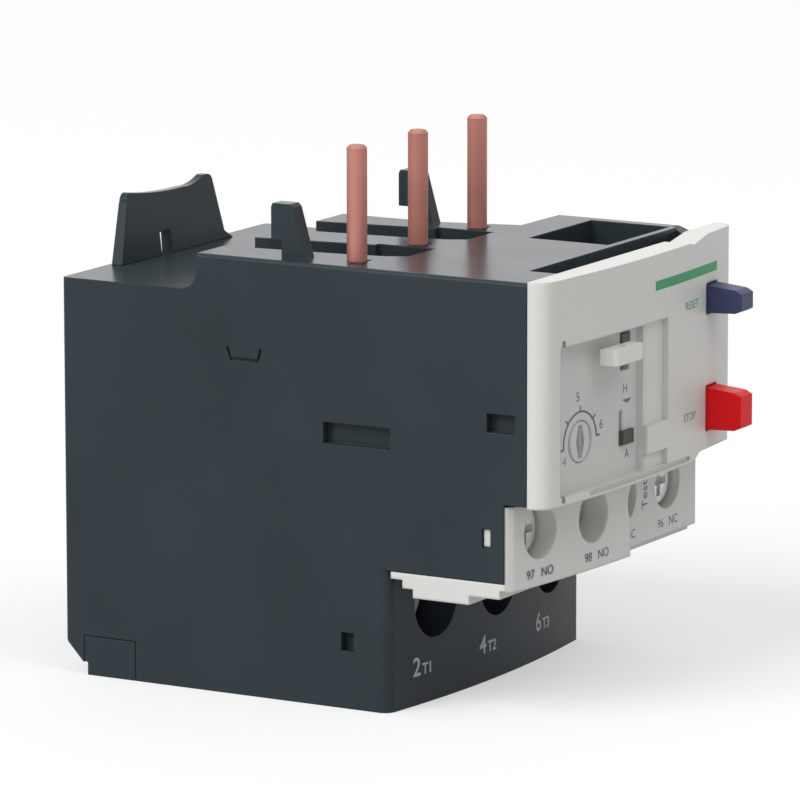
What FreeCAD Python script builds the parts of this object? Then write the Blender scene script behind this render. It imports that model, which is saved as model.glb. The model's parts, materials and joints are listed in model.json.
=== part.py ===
"""Thermal overload relay, 45 mm frame: three copper pins plug up into a contactor, two hooks and
a rear latch plate hold it there, and the load wires leave from terminals at the foot.

Frame: X to the right, Y to the back, Z up, millimetres. The origin is the centre of the
bounding box at the level of the lowest face. Stations along the depth are measured forwards
from the back plane.
"""
import FreeCAD, Part
import Sketcher
import math
import os

Vector = FreeCAD.Vector
Rotation = FreeCAD.Rotation

CELLS = [
    # overall
    ("width", 45.0, "width of the relay"),
    ("overall_depth", 68.2, "back plane to the front of the buttons"),
    ("deck_height", 50.44, "bottom to the deck that meets the contactor"),
    ("shelf_height", 46.25, "bottom to the rear shelf"),
    ("pin_top", 63.66, "bottom to the tips of the pins"),
    ("wall", 1.6, "general wall of the mouldings"),
    ("gap", 0.1, "clearance between seated mouldings"),
    ("slide_gap", 0.3, "clearance round moving mouldings"),
    # case stations, measured forwards from the back plane
    ("step_station", 18.0, "front end of the rear shelf"),
    ("deck_front", 60.6, "front edge of the case"),
    ("foot_front", 43.2, "corner of the terminal foot"),
    ("foot_bulge", 1.4, "height of the bow of the foot's front"),
    ("overhang_height", 16.47, "lower edge of the case over the auxiliary block"),
    ("chin_height", 25.4, "height where the case stands over the auxiliary block"),
    ("chin_station", 57.8, "front edge of the case beside the auxiliary block"),
    ("toe_height", 3.99, "rear chamfer of the foot"),
    ("toe_step", 1.47, "small step under the rear chamfer"),
    ("toe_station", 3.0, "rear edge of the underside"),
    ("edge_round", 0.5, "rounding of the outer edges"),
    # chambers inside the case
    ("front_room_station", 43.2, "back wall of the mechanism room"),
    ("front_room_top", 45.7, "ceiling of the mechanism room"),
    ("pole_room_front", 41.2, "front wall of the pole rooms"),
    ("pole_room_back", 3.8, "thickness of the back wall"),
    ("pole_room_floor", 18.0, "floor of the pole rooms over the terminals"),
    ("pole_room_top", 44.6, "ceiling of the pole rooms"),
    ("pole_room_width", 12.4, "width of one pole room"),
    ("pole_room_shift", -0.7, "pole rooms stand to the left of the middle"),
    ("lid_station", 24.0, "front end of the bottom lid"),
    ("lid_thick", 1.5, "thickness of the bottom lid"),
    # poles
    ("pin_pitch", 13.71, "distance from pin to pin"),
    ("pin_shift", -5.12, "middle pin from the middle of the case"),
    ("pin_station", 36.95, "pins from the back plane"),
    ("pin_diameter", 2.3, "diameter of a pin"),
    ("pin_root", 0.75, "half width of a pin's square root below the deck"),
    ("pin_stand", 0.16, "deck to the full diameter of a pin"),
    ("pin_bevel", 0.3, "bevel of a pin's tip"),
    ("pin_foot", 41.0, "lower end of a pin"),
    ("pole_pitch", 13.4, "distance from terminal to terminal"),
    ("strip_thick", 0.9, "thickness of a bimetal strip"),
    ("strip_width", 6.0, "width of a bimetal strip"),
    ("strip_station", 15.0, "middle of the bimetal strips"),
    ("strip_foot", 7.0, "lower end of the bimetal strips"),
    ("strip_top", 43.6, "upper end of the bimetal strips"),
    ("winding_turns", 7, "turns of a heater winding"),
    ("winding_pitch", 2.8, "height from turn to turn"),
    ("winding_band", 1.4, "height of the heater ribbon"),
    ("winding_thick", 0.6, "thickness of the heater ribbon"),
    ("winding_room", 2.6, "half width inside a winding"),
    ("winding_foot", 13.0, "lowest turn of a winding"),
    ("bar_thick", 1.0, "thickness of a load bar"),
    ("bar_width", 5.0, "width of a load bar"),
    # power terminals
    ("power_axis", 11.5, "height of the power terminal screws"),
    ("power_hole", 4.2, "radius of a screwdriver hole"),
    ("power_head", 3.2, "radius of a power screw's head"),
    ("power_head_long", 2.3, "length of a power screw's head"),
    ("power_shank", 1.95, "radius of a power screw's shank"),
    ("power_room_front", 36.4, "front of a power terminal room"),
    ("power_room_long", 10.8, "depth of a power terminal room"),
    ("power_room_half", 5.7, "half width of a power terminal room"),
    ("power_room_floor", 3.0, "floor of a power terminal room"),
    ("power_room_roof", 15.6, "ceiling of a power terminal room"),
    ("power_cage_wall", 1.2, "wall of a power terminal cage"),
    ("power_cage_half", 4.9, "half width of a power terminal cage"),
    ("power_cage_high", 7.2, "height of a power terminal cage"),
    ("power_cage_long", 7.4, "length of a power terminal cage"),
    ("power_travel", 3.0, "travel of a power terminal cage"),
    ("power_entry_half", 4.5, "half width of a cable entry"),
    ("power_entry_long", 8.0, "depth of a cable entry"),
    # auxiliary terminals
    ("aux_pitch", 10.67, "distance between auxiliary terminals"),
    ("aux_first", -16.6, "first auxiliary terminal from the middle"),
    ("aux_axis", 21.5, "height of the auxiliary terminal screws"),
    ("aux_hole", 3.05, "radius of an auxiliary screwdriver hole"),
    ("aux_head", 2.5, "radius of an auxiliary screw's head"),
    ("aux_head_long", 1.8, "length of an auxiliary screw's head"),
    ("aux_shank", 1.4, "radius of an auxiliary screw's shank"),
    ("aux_room_front", 54.1, "front of an auxiliary terminal room"),
    ("aux_room_long", 8.5, "depth of an auxiliary terminal room"),
    ("aux_room_half", 3.9, "half width of an auxiliary terminal room"),
    ("aux_room_floor", 15.2, "floor of an auxiliary terminal room"),
    ("aux_room_roof", 24.3, "ceiling of an auxiliary terminal room"),
    ("aux_cage_wall", 1.0, "wall of an auxiliary terminal cage"),
    ("aux_cage_half", 3.4, "half width of an auxiliary terminal cage"),
    ("aux_cage_high", 5.2, "height of an auxiliary terminal cage"),
    ("aux_cage_long", 6.2, "length of an auxiliary terminal cage"),
    ("aux_travel", 2.0, "travel of an auxiliary terminal cage"),
    ("aux_entry_half", 3.2, "half width of a wire entry"),
    ("aux_entry_long", 4.4, "depth of a wire entry"),
    ("aux_face", 58.3, "flat front of the auxiliary block"),
    ("aux_bow", 60.5, "foremost point of the bowed front"),
    ("aux_bow_edge", 58.55, "left end of the bowed front"),
    ("aux_split", 2.3, "right end of the bowed front"),
    ("aux_top", 25.1, "top of the auxiliary block"),
    ("aux_bottom", 15.4, "bottom of the auxiliary block's front"),
    ("aux_keel", 13.65, "lowest face of the auxiliary block"),
    # front cover
    ("cover_back", 60.7, "back of the front cover"),
    ("cover_edge", 63.0, "front of the cover at its sides"),
    ("cover_bow", 1.3, "height of the bow of the cover"),
    ("cover_bottom", 25.2, "lower edge of the cover"),
    ("cover_top", 50.6, "upper edge of the cover"),
    ("cover_corner", 1.8, "rounding of the cover's upright edges"),
    ("window_left", -19.55, "left side of the settings recess"),
    ("window_right", -1.0, "right side of the settings recess"),
    ("window_bottom", 26.2, "lower side of the settings recess"),
    ("window_top", 43.0, "upper side of the settings recess"),
    ("window_deep", 1.35, "depth of the settings recess"),
    ("scoop_right", 4.0, "right side of the finger channel"),
    ("scoop_deep", 0.6, "depth of the finger channel"),
    ("scoop_foot", 31.3, "lower end of the finger channel"),
    ("scoop_rest", 28.0, "top of the channel's short lower length"),
    ("sill_left", -13.6, "left end of the groove under the recess"),
    ("sill_right", 10.0, "right end of the groove under the recess"),
    ("sill_deep", 0.3, "depth of the groove under the recess"),
    ("sill_low", 0.65, "recess to the lower side of the groove under it"),
    ("sill_wide", 0.5, "width of the groove under the recess"),
    ("pane_thick", 0.7, "thickness of the clear pane"),
    ("hinge_x", -18.9, "hinge line of the clear pane"),
    ("hinge_radius", 0.45, "radius of the pane's hinge pins"),
    # controls
    ("dial_x", -13.5, "middle of the setting dial"),
    ("dial_z", 31.5, "height of the setting dial"),
    ("dial_radius", 2.3, "radius of the setting dial"),
    ("mode_x", -3.6, "middle of the reset mode slot"),
    ("mode_half", 1.25, "half width of the reset mode slot"),
    ("mode_low", 29.6, "lower end of the reset mode slot"),
    ("mode_high", 33.6, "upper end of the reset mode slot"),
    ("mode_travel", 2.2, "travel of the reset mode slider"),
    ("mode_slit", -4.75, "middle of the reset mode slider's slit"),
    ("mode_slit_half", 0.35, "half width of the reset mode slider's slit"),
    ("mode_thick", 0.35, "thickness of the reset mode slider's pad"),
    ("slider_thick", 0.9, "thickness of the plates behind the sliders"),
    ("slider_lip", 0.7, "overlap of the plates behind the sliders"),
    ("knob_stand", 0.2, "how far the test slider stands off the recess floor"),
    ("test_x", -3.85, "middle of the test slot"),
    ("test_half", 1.05, "half width of the test slot"),
    ("test_low", 38.1, "lower end of the test slot"),
    ("test_high", 42.5, "upper end of the test slot"),
    ("test_travel", 1.0, "travel of the test slider"),
    ("button_left", 14.5, "left side of the buttons"),
    ("button_wide", 2.9, "width of the buttons"),
    ("button_travel", 2.5, "travel of the buttons"),
    ("reset_low", 41.9, "lower side of the reset button"),
    ("reset_high", 45.2, "upper side of the reset button"),
    ("stop_low", 28.3, "lower side of the stop button"),
    ("stop_high", 33.3, "upper side of the stop button"),
    # trip mechanism
    ("slide_travel", 2.0, "travel of the trip slides"),
    ("slide_thick", 1.0, "thickness of the trip slides"),
    ("push_level", 40.4, "underside of the push slide"),
    ("differential_level", 42.2, "underside of the differential slide"),
    ("lever_x", -12.0, "pivot of the trip lever"),
    ("lever_z", 28.5, "height of the trip lever's pivot"),
    ("lever_pin", 1.0, "radius of the trip lever's pin"),
    ("contact_travel", 1.6, "travel of the contact carrier"),
    ("contact_plane", 50.9, "front of the contact bars"),
    ("contact_thick", 0.8, "thickness of the contact bars"),
    # hooks and latch plate
    ("hook_pitch", 28.7, "distance between the two hooks"),
    ("hook_left", -20.1, "left side of the first hook"),
    ("hook_wide", 1.9, "width of a hook"),
    ("latch_high", 8.0, "height of the latch plate over the shelf"),
    ("latch_thick", 1.9, "thickness of the latch plate at its foot"),
    ("latch_crest_thick", 0.95, "thickness of the latch plate at its crest"),
    ("latch_lean", 0.5, "how far the latch plate's foot stands off the back plane"),
    ("latch_left", -12.66, "left foot of the latch plate"),
    ("latch_right", 10.2, "right foot of the latch plate"),
    ("gusset", 1.72, "reach of the latch plate's right gusset"),
    ("gusset_high", 1.0, "height of the latch plate's right gusset"),
    ("latch_crest_left", -9.3, "left end of the latch plate's crest"),
    ("latch_crest_right", 7.8, "right end of the latch plate's crest"),
    ("latch_saddle", 2.33, "lowest point of the latch plate's crest"),
    ("latch_dip", 0.79, "depth of the saddle in the latch plate's crest"),
    ("latch_sweep", 70.0, "sweep of the latch plate's long crest"),
    ("latch_round", 0.95, "soft shoulders of the latch plate"),
    ("latch_slot", -3.9, "left side of the latch plate's window"),
    ("latch_slot_wide", 2.2, "width of the latch plate's window"),
    ("latch_slot_high", 2.7, "top of the latch plate's window over the shelf"),
    ("zero", 0.0, "the back plane"),
    ("ground", 0.0, "the lowest face"),
    ("fit", 0.05, "clearance of a shaft in its hole"),
    ("foot_back", 41.5, "where the bowed front of the foot begins"),
    ("foot_corner", 1.4, "rounding of the foot's front corners"),
    ("step_round", 2.0, "hollow rounding between shelf and deck"),
    ("toe_lean", 0.2, "lean of the rear edge of the underside"),
    ("lower_room_front", 24.0, "front wall of the lower pole rooms"),
    ("lower_room_back", 5.0, "back wall of the lower pole rooms"),
    ("passage_front", 21.3, "front of the passage of the slides"),
    ("passage_back", 6.7, "back of the passage of the slides"),
    ("arm_near", 0.5, "push arm from the trip lever's line"),
    ("arm_wide", 2.0, "width of the push arm"),
    ("arm_front", 46.0, "front end of the push arm"),
    ("pin_seat", 1.5, "depth of the lever pin's seat"),
    ("lid_ledge", 0.6, "ledge that the bottom lid lies on"),
    ("lid_back", 4.2, "rear end of the bottom lid"),
    ("tongue_front", 9.45, "front of the lid's tongue"),
    ("tongue_back", 2.6, "back of the lid's tongue"),
    ("tongue_high", 4.55, "height of the lid's tongue"),
    ("tongue_thick", 1.1, "thickness of the lid's tongue"),
    ("power_seat", 1.3, "wall that a power screw's head rests on"),
    ("bore_gap", 0.3, "clearance of a screw in its wall"),
    ("power_entry_front", 34.0, "front of a cable entry"),
    ("bar_station", 32.0, "front of the load bars"),
    ("pin_relief", 1.95, "side relief of a pin's hole"),
    ("relief_half", 0.8, "half width of the relief"),
    ("relief_deep", 1.2, "depth of the relief"),
    ("notch_left", 10.4, "left side of the right rear recess"),
    ("side_rib", 2.0, "rib that closes the deck on the right"),
    ("pocket_left", 5.4, "left side of the deck pocket"),
    ("pocket_front", 55.8, "front of the deck pocket"),
    ("pocket_back", 45.5, "back of the deck pocket"),
    ("pocket_deep", 3.4, "depth of the deck pocket"),
    ("groove_left", -14.9, "left end of the groove behind the cover"),
    ("groove_back", 56.7, "back of the groove behind the cover"),
    ("groove_deep", 2.2, "depth of the groove behind the cover"),
    ("rib_end", 56.0, "where the right rib starts to fall"),
    ("window_sink", 1.2, "depth of the snap windows"),
    ("nose_low", 20.4, "lower side of the auxiliary block's snap nose"),
    ("nose_high", 22.4, "upper side of the auxiliary block's snap nose"),
    ("nose_front", 56.0, "front of the auxiliary block's snap nose"),
    ("nose_back", 55.1, "back of the auxiliary block's snap nose"),
    ("nose_sink", 0.35, "how far the snap nose stays under the case's side"),
    ("groove_line", 0.35, "width of the fine groove"),
    ("hook_root", 31.0, "front foot of the hooks"),
    ("hook_neck", 3.15, "length of a hook's neck"),
    ("hook_lip", 1.35, "reach of a hook's lip"),
    ("hook_grip", 1.86, "deck to the underside of a hook's lip"),
    ("hook_lean", 1.6, "how far a hook leans back at its top"),
    ("hook_round", 0.4, "soft corners of a hook"),
    ("hook_high", 6.06, "height of the hooks over the deck"),
    ("cover_lift", 0.45, "extra height of the cover's right part"),
    ("cover_low_corner", 0.9, "rounding of the cover's lower right corner"),
    ("rib_long", 1.5, "length of the cover's locating ribs"),
    ("hinge_seat", 0.7, "depth of the pane's hinge holes"),
    ("snap_wide", 0.6, "width of the snap tongue at the cover's right edge"),
    ("snap_low", 35.0, "lower end of the snap tongue"),
    ("snap_high", 39.7, "upper end of the snap tongue"),
    ("snap_long", 1.8, "length of the snap tongue in front of the case"),
    ("lug_left", -11.5, "left side of the sealing lug"),
    ("lug_wide", 6.5, "width of the sealing lug"),
    ("lug_low", 39.9, "underside of the sealing lug"),
    ("lug_high", 41.7, "top of the sealing lug"),
    ("lug_front", 66.0, "front of the sealing lug"),
    ("lug_round", 0.5, "rounding of the sealing lug"),
    ("lug_hole", 0.55, "radius of the sealing wire's hole"),
    ("lug_hole_back", 1.2, "sealing wire's hole behind the lug's front"),
    ("dial_shaft", 2.0, "radius of the dial's shaft"),
    ("dial_back", 54.0, "back end of the dial's cam"),
    ("button_bevel", 0.4, "bevel of the buttons"),
    ("button_draft", 0.2, "taper of the buttons towards their fronts"),
    ("flange_lip", 0.7, "flange of a button beyond its sides"),
    ("flange_thick", 1.4, "thickness of a button's flange"),
    ("reset_stem", 1.2, "radius of the reset stem"),
    ("stop_stem", 1.0, "radius of the stop stem"),
    ("post_front", 53.6, "front of the stop spring's rest"),
    ("aux_back", 43.5, "back of the auxiliary block"),
    ("strip_low", 15.6, "lower edge of the auxiliary block's first step"),
    ("step_rear", 44.85, "rear of the auxiliary block's second step"),
    ("keel_front", 53.4, "front of the auxiliary block's keel"),
    ("keel_rear", 46.2, "rear of the auxiliary block's keel"),
    ("aux_corner", 1.5, "rounding of the auxiliary block's left corner"),
    ("aux_bow_radius", 190.0, "bow of the auxiliary block's left front"),
    ("aux_seat", 1.2, "wall that an auxiliary screw's head rests on"),
    ("contact_half", 2.2, "half width of a contact bar's tongue"),
    ("carrier_front", 48.4, "front of the contact carrier's beam"),
    ("carrier_thick", 1.4, "thickness of the contact carrier's beam"),
    ("carrier_low", 31.5, "underside of the contact carrier's beam"),
    ("leg_left", -1.4, "left side of the carrier's guide leg"),
    ("leg_wide", 1.4, "width of the carrier's guide leg"),
    ("leg_low", 20.0, "lower end of the carrier's guide leg"),
    ("winding_half", 5.0, "half depth of a heater winding"),
    ("hub_long", 2.5, "length of the trip lever's hub"),
    ("hub_radius", 2.2, "radius of the trip lever's hub"),
    ("lever_arm", 9.6, "length of the trip lever's arm"),
    ("nc_level", 30.5, "faces of the closed contacts"),
    ("bridge_thick", 0.8, "thickness of the contact bridges"),
]


class Size:
    """A length or a number, together with the spreadsheet expression that gives it."""

    def __init__(self, number, text):
        self.number = float(number)
        self.text = text

    def __add__(self, other):
        return Size(self.number + number(other), "(%s + %s)" % (self.text, text(other)))

    def __sub__(self, other):
        return Size(self.number - number(other), "(%s - %s)" % (self.text, text(other)))

    def __mul__(self, other):
        return Size(self.number * number(other), "(%s * %s)" % (self.text, text(other)))

    def __truediv__(self, other):
        return Size(self.number / number(other), "(%s / %s)" % (self.text, text(other)))

    def __radd__(self, other):
        return Size(other, text(other)) + self

    def __rsub__(self, other):
        return Size(other, text(other)) - self

    def __rmul__(self, other):
        return Size(other, text(other)) * self

    def __neg__(self):
        return Size(0, "0") - self


def number(value):
    return value.number if isinstance(value, Size) else float(value)


def text(value):
    return value.text if isinstance(value, Size) else repr(float(value))


class Sheet:
    """The driving dimensions, one attribute for each cell of the spreadsheet."""


doc = FreeCAD.newDocument("overload_relay")
dims = Sheet()
made = []


def fill_sheet():
    sheet = doc.addObject("Spreadsheet::Sheet", "Dims")
    for row, (name, value, meaning) in enumerate(CELLS, start=1):
        sheet.set("A%d" % row, name)
        sheet.set("B%d" % row, str(value))
        sheet.set("C%d" % row, meaning)
        sheet.setAlias("B%d" % row, name)
        setattr(dims, name, Size(value, "Dims." + name))
    doc.recompute()


def bind(thing, prop, value):
    """Drive one property of an object from the spreadsheet."""
    thing.setExpression(prop, text(value))


# ---------------------------------------------------------------- places

def station(depth):
    """The Y of a plane that lies a depth in front of the back plane."""
    return dims.overall_depth / 2 - depth


def same(first, second):
    return abs(first - number(second)) < 1e-4


# ---------------------------------------------------------------- primitives

def box(name, x, depth, z):
    """A block between two X, two stations (front first) and two heights."""
    block = doc.addObject("Part::Box", name)
    low = (x[0], station(depth[0]), z[0])
    high = (x[1], station(depth[1]), z[1])
    for prop, start, end in zip(("Length", "Width", "Height"), low, high):
        bind(block, prop, end - start)
    for axis, start in zip("xyz", low):
        bind(block, "Placement.Base." + axis, start)
    return block


def rod(name, centre, depth, radius):
    """A round bar along the depth; centre is (x, z) and depth is two stations, front first."""
    bar = doc.addObject("Part::Cylinder", name)
    bar.Placement.Rotation = Rotation(Vector(1, 0, 0), -90)
    bind(bar, "Radius", radius)
    bind(bar, "Height", depth[0] - depth[1])
    for axis, place in zip("xyz", (centre[0], station(depth[0]), centre[1])):
        bind(bar, "Placement.Base." + axis, place)
    return bar


def post(name, centre, z, radius, top_radius=None):
    """A round bar that stands up; centre is (x, station)."""
    kind = "Part::Cylinder" if top_radius is None else "Part::Cone"
    bar = doc.addObject(kind, name)
    if top_radius is None:
        bind(bar, "Radius", radius)
    else:
        bind(bar, "Radius1", radius)
        bind(bar, "Radius2", top_radius)
    bind(bar, "Height", z[1] - z[0])
    for axis, place in zip("xyz", (centre[0], station(centre[1]), z[0])):
        bind(bar, "Placement.Base." + axis, place)
    return bar


def join(name, pieces):
    whole = doc.addObject("Part::MultiFuse", name)
    whole.Shapes = pieces
    whole.Refine = True
    return whole


def cut(name, base, tools):
    """Take one tool, or several, away from a base."""
    tool = tools[0] if len(tools) == 1 else join(name + "_tools", tools)
    rest = doc.addObject("Part::Cut", name)
    rest.Base = base
    rest.Tool = tool
    rest.Refine = True
    return rest


def keep(piece, label):
    """Name a finished piece; its label is its node."""
    piece.Label = label
    made.append(piece)
    return piece


# ---------------------------------------------------------------- sketches

def new_body(name):
    return doc.addObject("PartDesign::Body", name)


def arc_between(start, end, radius, side):
    """The short arc from start to end whose centre lies to the left (side 1) or right (-1)."""
    chord = end - start
    half = chord.Length / 2
    across = Vector(-chord.y, chord.x, 0).normalize()
    centre = (start + end) / 2 + across * (side * math.sqrt(max(radius ** 2 - half ** 2, 0)))
    ends = (start, end) if side == 1 else (end, start)
    first, last = [math.atan2(point.y - centre.y, point.x - centre.x) for point in ends]
    first %= 2 * math.pi
    last = first + (last - first) % (2 * math.pi)
    return Part.ArcOfCircle(Part.Circle(centre, Vector(0, 0, 1), radius), first, last)


def fix_point(drawing, geometry, place, point):
    for kind, value in (("DistanceX", point[0]), ("DistanceY", point[1])):
        rule = Sketcher.Constraint(kind, -1, 1, geometry, place, number(value))
        bind(drawing, "Constraints[%d]" % drawing.addConstraint(rule), value)


def fix_radius(drawing, geometry, radius):
    rule = Sketcher.Constraint("Radius", geometry, number(radius))
    bind(drawing, "Constraints[%d]" % drawing.addConstraint(rule), radius)


def circle(drawing, centre, radius):
    """A circle tied to the spreadsheet."""
    middle = Vector(number(centre[0]), number(centre[1]), 0)
    ring = drawing.addGeometry(Part.Circle(middle, Vector(0, 0, 1), number(radius)), False)
    fix_point(drawing, ring, 3, centre)
    fix_radius(drawing, ring, radius)


def outline(drawing, points):
    """A closed line through points (across, up); (across, up, radius, side) starts an arc."""
    corners = [Vector(number(point[0]), number(point[1]), 0) for point in points]
    lines = []
    for index, point in enumerate(points):
        start = corners[index]
        end = corners[(index + 1) % len(points)]
        if len(point) == 2:
            line = drawing.addGeometry(Part.LineSegment(start, end), False)
            lines.append((line, 1, 2))
            continue
        line = drawing.addGeometry(arc_between(start, end, number(point[2]), point[3]), False)
        lines.append((line, 1, 2) if point[3] == 1 else (line, 2, 1))
    for index, (line, start, end) in enumerate(lines):
        following = lines[(index + 1) % len(lines)]
        rule = Sketcher.Constraint("Coincident", line, end, following[0], following[1])
        drawing.addConstraint(rule)
    for (line, start, end), point in zip(lines, points):
        fix_point(drawing, line, start, point)
        if len(point) > 2:
            fix_radius(drawing, line, point[2])


def square(x, up):
    """The corners of a rectangle."""
    return [(x[0], up[0]), (x[1], up[0]), (x[1], up[1]), (x[0], up[1])]


def plan(x, depth):
    """The corners of a rectangle on the plan, from two X and two stations."""
    return square(x, (station(depth[0]), station(depth[1])))


def sketch(body, role, level, loops):
    """Loops drawn on one of the body's own planes, lifted to a level along that axis."""
    plane = [item for item in body.Origin.OriginFeatures if item.Role == role][0]
    drawing = body.newObject("Sketcher::SketchObject", body.Name + "_sketch")
    drawing.AttachmentSupport = [(plane, "")]
    drawing.MapMode = "FlatFace"
    bind(drawing, "AttachmentOffset.Base.z", -level if role == "XZ_Plane" else level)
    for loop in loops:
        if len(loop) == 2:
            circle(drawing, loop[0], loop[1])
        else:
            outline(drawing, loop)
    return drawing


def pad(body, drawing, length):
    feature = body.newObject("PartDesign::Pad", body.Name + "_pad")
    feature.Profile = drawing
    bind(feature, "Length", length)
    return feature


def pocket(body, drawing, depth):
    feature = body.newObject("PartDesign::Pocket", body.Name + "_pocket")
    feature.Profile = drawing
    bind(feature, "Length", depth)
    return feature


def raise_plan(body, loops, z):
    """Add what a plan encloses, from one height up to another."""
    return pad(body, sketch(body, "XY_Plane", z[0], loops), z[1] - z[0])


def raise_front(body, loops, depth):
    """Add what a front view encloses, between two stations (front first)."""
    drawing = sketch(body, "XZ_Plane", station(depth[1]), loops)
    return pad(body, drawing, depth[0] - depth[1])


def raise_side(body, loops, x):
    """Add what a side view encloses, between two X."""
    return pad(body, sketch(body, "YZ_Plane", x[0], loops), x[1] - x[0])


def sink_plan(body, loops, z):
    """Cut what a plan encloses, between two heights (low first)."""
    return pocket(body, sketch(body, "XY_Plane", z[1], loops), z[1] - z[0])


def sink_front(body, loops, depth):
    """Cut what a front view encloses, between two stations (front first)."""
    drawing = sketch(body, "XZ_Plane", station(depth[0]), loops)
    return pocket(body, drawing, depth[0] - depth[1])


def sink_side(body, loops, x):
    """Cut what a side view encloses, between two X (low first)."""
    return pocket(body, sketch(body, "YZ_Plane", x[1], loops), x[1] - x[0])


def side(points):
    """Side view points (station, height) as sketch points."""
    return [(station(point[0]),) + tuple(point[1:]) for point in points]


def round_edges(body, radius, wanted):
    """Round the straight edges of the tip that a test picks by their two ends."""
    doc.recompute()
    tip = body.Tip
    names = []
    for index, edge in enumerate(tip.Shape.Edges, start=1):
        if len(edge.Vertexes) != 2:
            continue
        if wanted(edge.Vertexes[0].Point, edge.Vertexes[1].Point):
            names.append("Edge%d" % index)
    fillet = body.newObject("PartDesign::Fillet", body.Name + "_round")
    fillet.Base = (tip, names)
    bind(fillet, "Radius", radius)
    return fillet


# ---------------------------------------------------------------- shared places

POLES = range(3)
AUX = range(4)


def half_width():
    return dims.width / 2


def pin_x(pole):
    return dims.pin_shift + dims.pin_pitch * (pole - 1)


def pole_x(pole):
    return dims.pole_pitch * (pole - 1)


def room_x(pole):
    """Left and right wall of one pole room."""
    middle = dims.pole_room_shift + dims.pin_pitch * (pole - 1)
    return middle - dims.pole_room_width / 2, middle + dims.pole_room_width / 2


def aux_x(terminal):
    return dims.aux_first + dims.aux_pitch * terminal


def about(middle, half):
    return middle - half, middle + half


def cover_bow_radius():
    """The cover's front is bowed in plan: a chord of the full width with a small rise."""
    half = half_width()
    return (half * half + dims.cover_bow * dims.cover_bow) / (2 * dims.cover_bow)


def face_station(x):
    """Station of the cover's front at an X."""
    return dims.cover_edge + dims.cover_bow - x * x / (2 * cover_bow_radius())


# ---------------------------------------------------------------- case

def make_housing():
    """The moulded case: terminal foot, pole rooms, mechanism room, deck, hooks."""
    case = new_body("housing")
    edge = half_width()
    raise_side(case, [case_profile()], (-edge, edge))
    raise_plan(case, [foot_bow(dims.foot_front, dims.foot_back)], (dims.ground, dims.overhang_height))
    deck = dims.deck_height
    side_x = edge
    round_edges(case, dims.edge_round, lambda start, end: (
        same(abs(start.x), side_x) and same(abs(end.x), side_x) and same(start.x, end.x)
        and (same(start.z, deck) and same(end.z, deck)
             or same(start.y, station(dims.zero)) and same(end.y, station(dims.zero)))))
    hollow_case(case)
    bore_terminals(case)
    carve_deck(case)
    carve_left_side(case)
    for index in range(2):
        left = dims.hook_left + dims.hook_pitch * index
        raise_side(case, [hook_profile()], (left, left + dims.hook_wide))
    edge = half_width()
    raise_front(case, [square((edge - dims.snap_wide, edge), (dims.snap_low, dims.snap_high))],
                (dims.deck_front + dims.snap_long, dims.deck_front - dims.wall))
    return keep(case, "housing")


def case_profile():
    deck = dims.deck_height
    shelf = dims.shelf_height
    step = dims.step_station
    soft = dims.step_round
    return side([
        (dims.zero, dims.toe_height),
        (dims.zero, shelf),
        (step - soft, shelf, soft, -1),
        (step, shelf + soft),
        (step, deck),
        (dims.deck_front, deck),
        (dims.deck_front, dims.chin_height),
        (dims.chin_station, dims.chin_height),
        (dims.chin_station, dims.overhang_height),
        (dims.foot_back, dims.overhang_height),
        (dims.foot_back, dims.ground),
        (dims.toe_station, dims.ground),
        (dims.toe_station - dims.toe_lean, dims.toe_step),
        (dims.toe_station - dims.toe_lean * 3, dims.toe_step),
    ])


def foot_bow(corner_station, back_station):
    """Plan of the bowed front of the terminal foot, with rounded corners."""
    edge = half_width()
    soft = dims.foot_corner
    flat = edge - soft
    radius = (flat * flat + dims.foot_bulge * dims.foot_bulge) / (2 * dims.foot_bulge)
    front = station(corner_station)
    return [
        (edge, station(back_station)),
        (-edge, station(back_station)),
        (-edge, front + soft, soft, 1),
        (-flat, front, radius, 1),
        (flat, front, soft, 1),
        (edge, front + soft),
    ]


def hollow_case(case):
    edge = half_width()
    room = (-edge + dims.wall, edge - dims.wall)
    sink_plan(case, [plan(room, (dims.deck_front, dims.front_room_station))],
              (dims.overhang_height, dims.front_room_top))
    upper = [plan(room_x(pole), (dims.pole_room_front, dims.pole_room_back)) for pole in POLES]
    sink_plan(case, upper, (dims.pole_room_floor, dims.pole_room_top))
    lower = [plan(room_x(pole), (dims.lower_room_front, dims.lower_room_back)) for pole in POLES]
    sink_plan(case, lower, (dims.ground, dims.pole_room_floor))
    passage = (room_x(0)[0], room_x(2)[1])
    sink_plan(case, [plan(passage, (dims.passage_front, dims.passage_back))],
              (dims.push_level - dims.slide_gap, dims.pole_room_top))
    arm = dims.lever_x + dims.arm_near
    window = (arm - dims.slide_travel - dims.slide_gap * 2, arm + dims.arm_wide + dims.slide_gap * 2)
    sink_plan(case, [plan(window, (dims.front_room_station, dims.pole_room_front))],
              (dims.push_level - dims.slide_gap, dims.push_level + dims.slide_thick + dims.slide_gap))
    sink_front(case, [((dims.lever_x, dims.lever_z), dims.lever_pin + dims.fit)],
               (dims.front_room_station, dims.front_room_station - dims.pin_seat))
    rebate = (room_x(0)[0] - dims.lid_ledge, room_x(2)[1] + dims.lid_ledge)
    sink_plan(case, [plan(rebate, (dims.lid_station, dims.lid_back))],
              (dims.ground, dims.lid_thick + dims.gap))
    notch = (dims.tongue_front + dims.gap, dims.tongue_back)
    sink_side(case, [side([
        (notch[0], dims.ground), (notch[0], dims.tongue_high + dims.gap),
        (notch[1] - dims.gap, dims.tongue_high + dims.gap), (notch[1] - dims.gap, dims.ground)])],
        (-edge, -edge + dims.tongue_thick + dims.gap))
    sink_plan(case, [plan((-edge, rebate[0] + dims.gap), (notch[0], dims.lid_back))],
              (dims.ground, dims.lid_thick + dims.gap))


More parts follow.
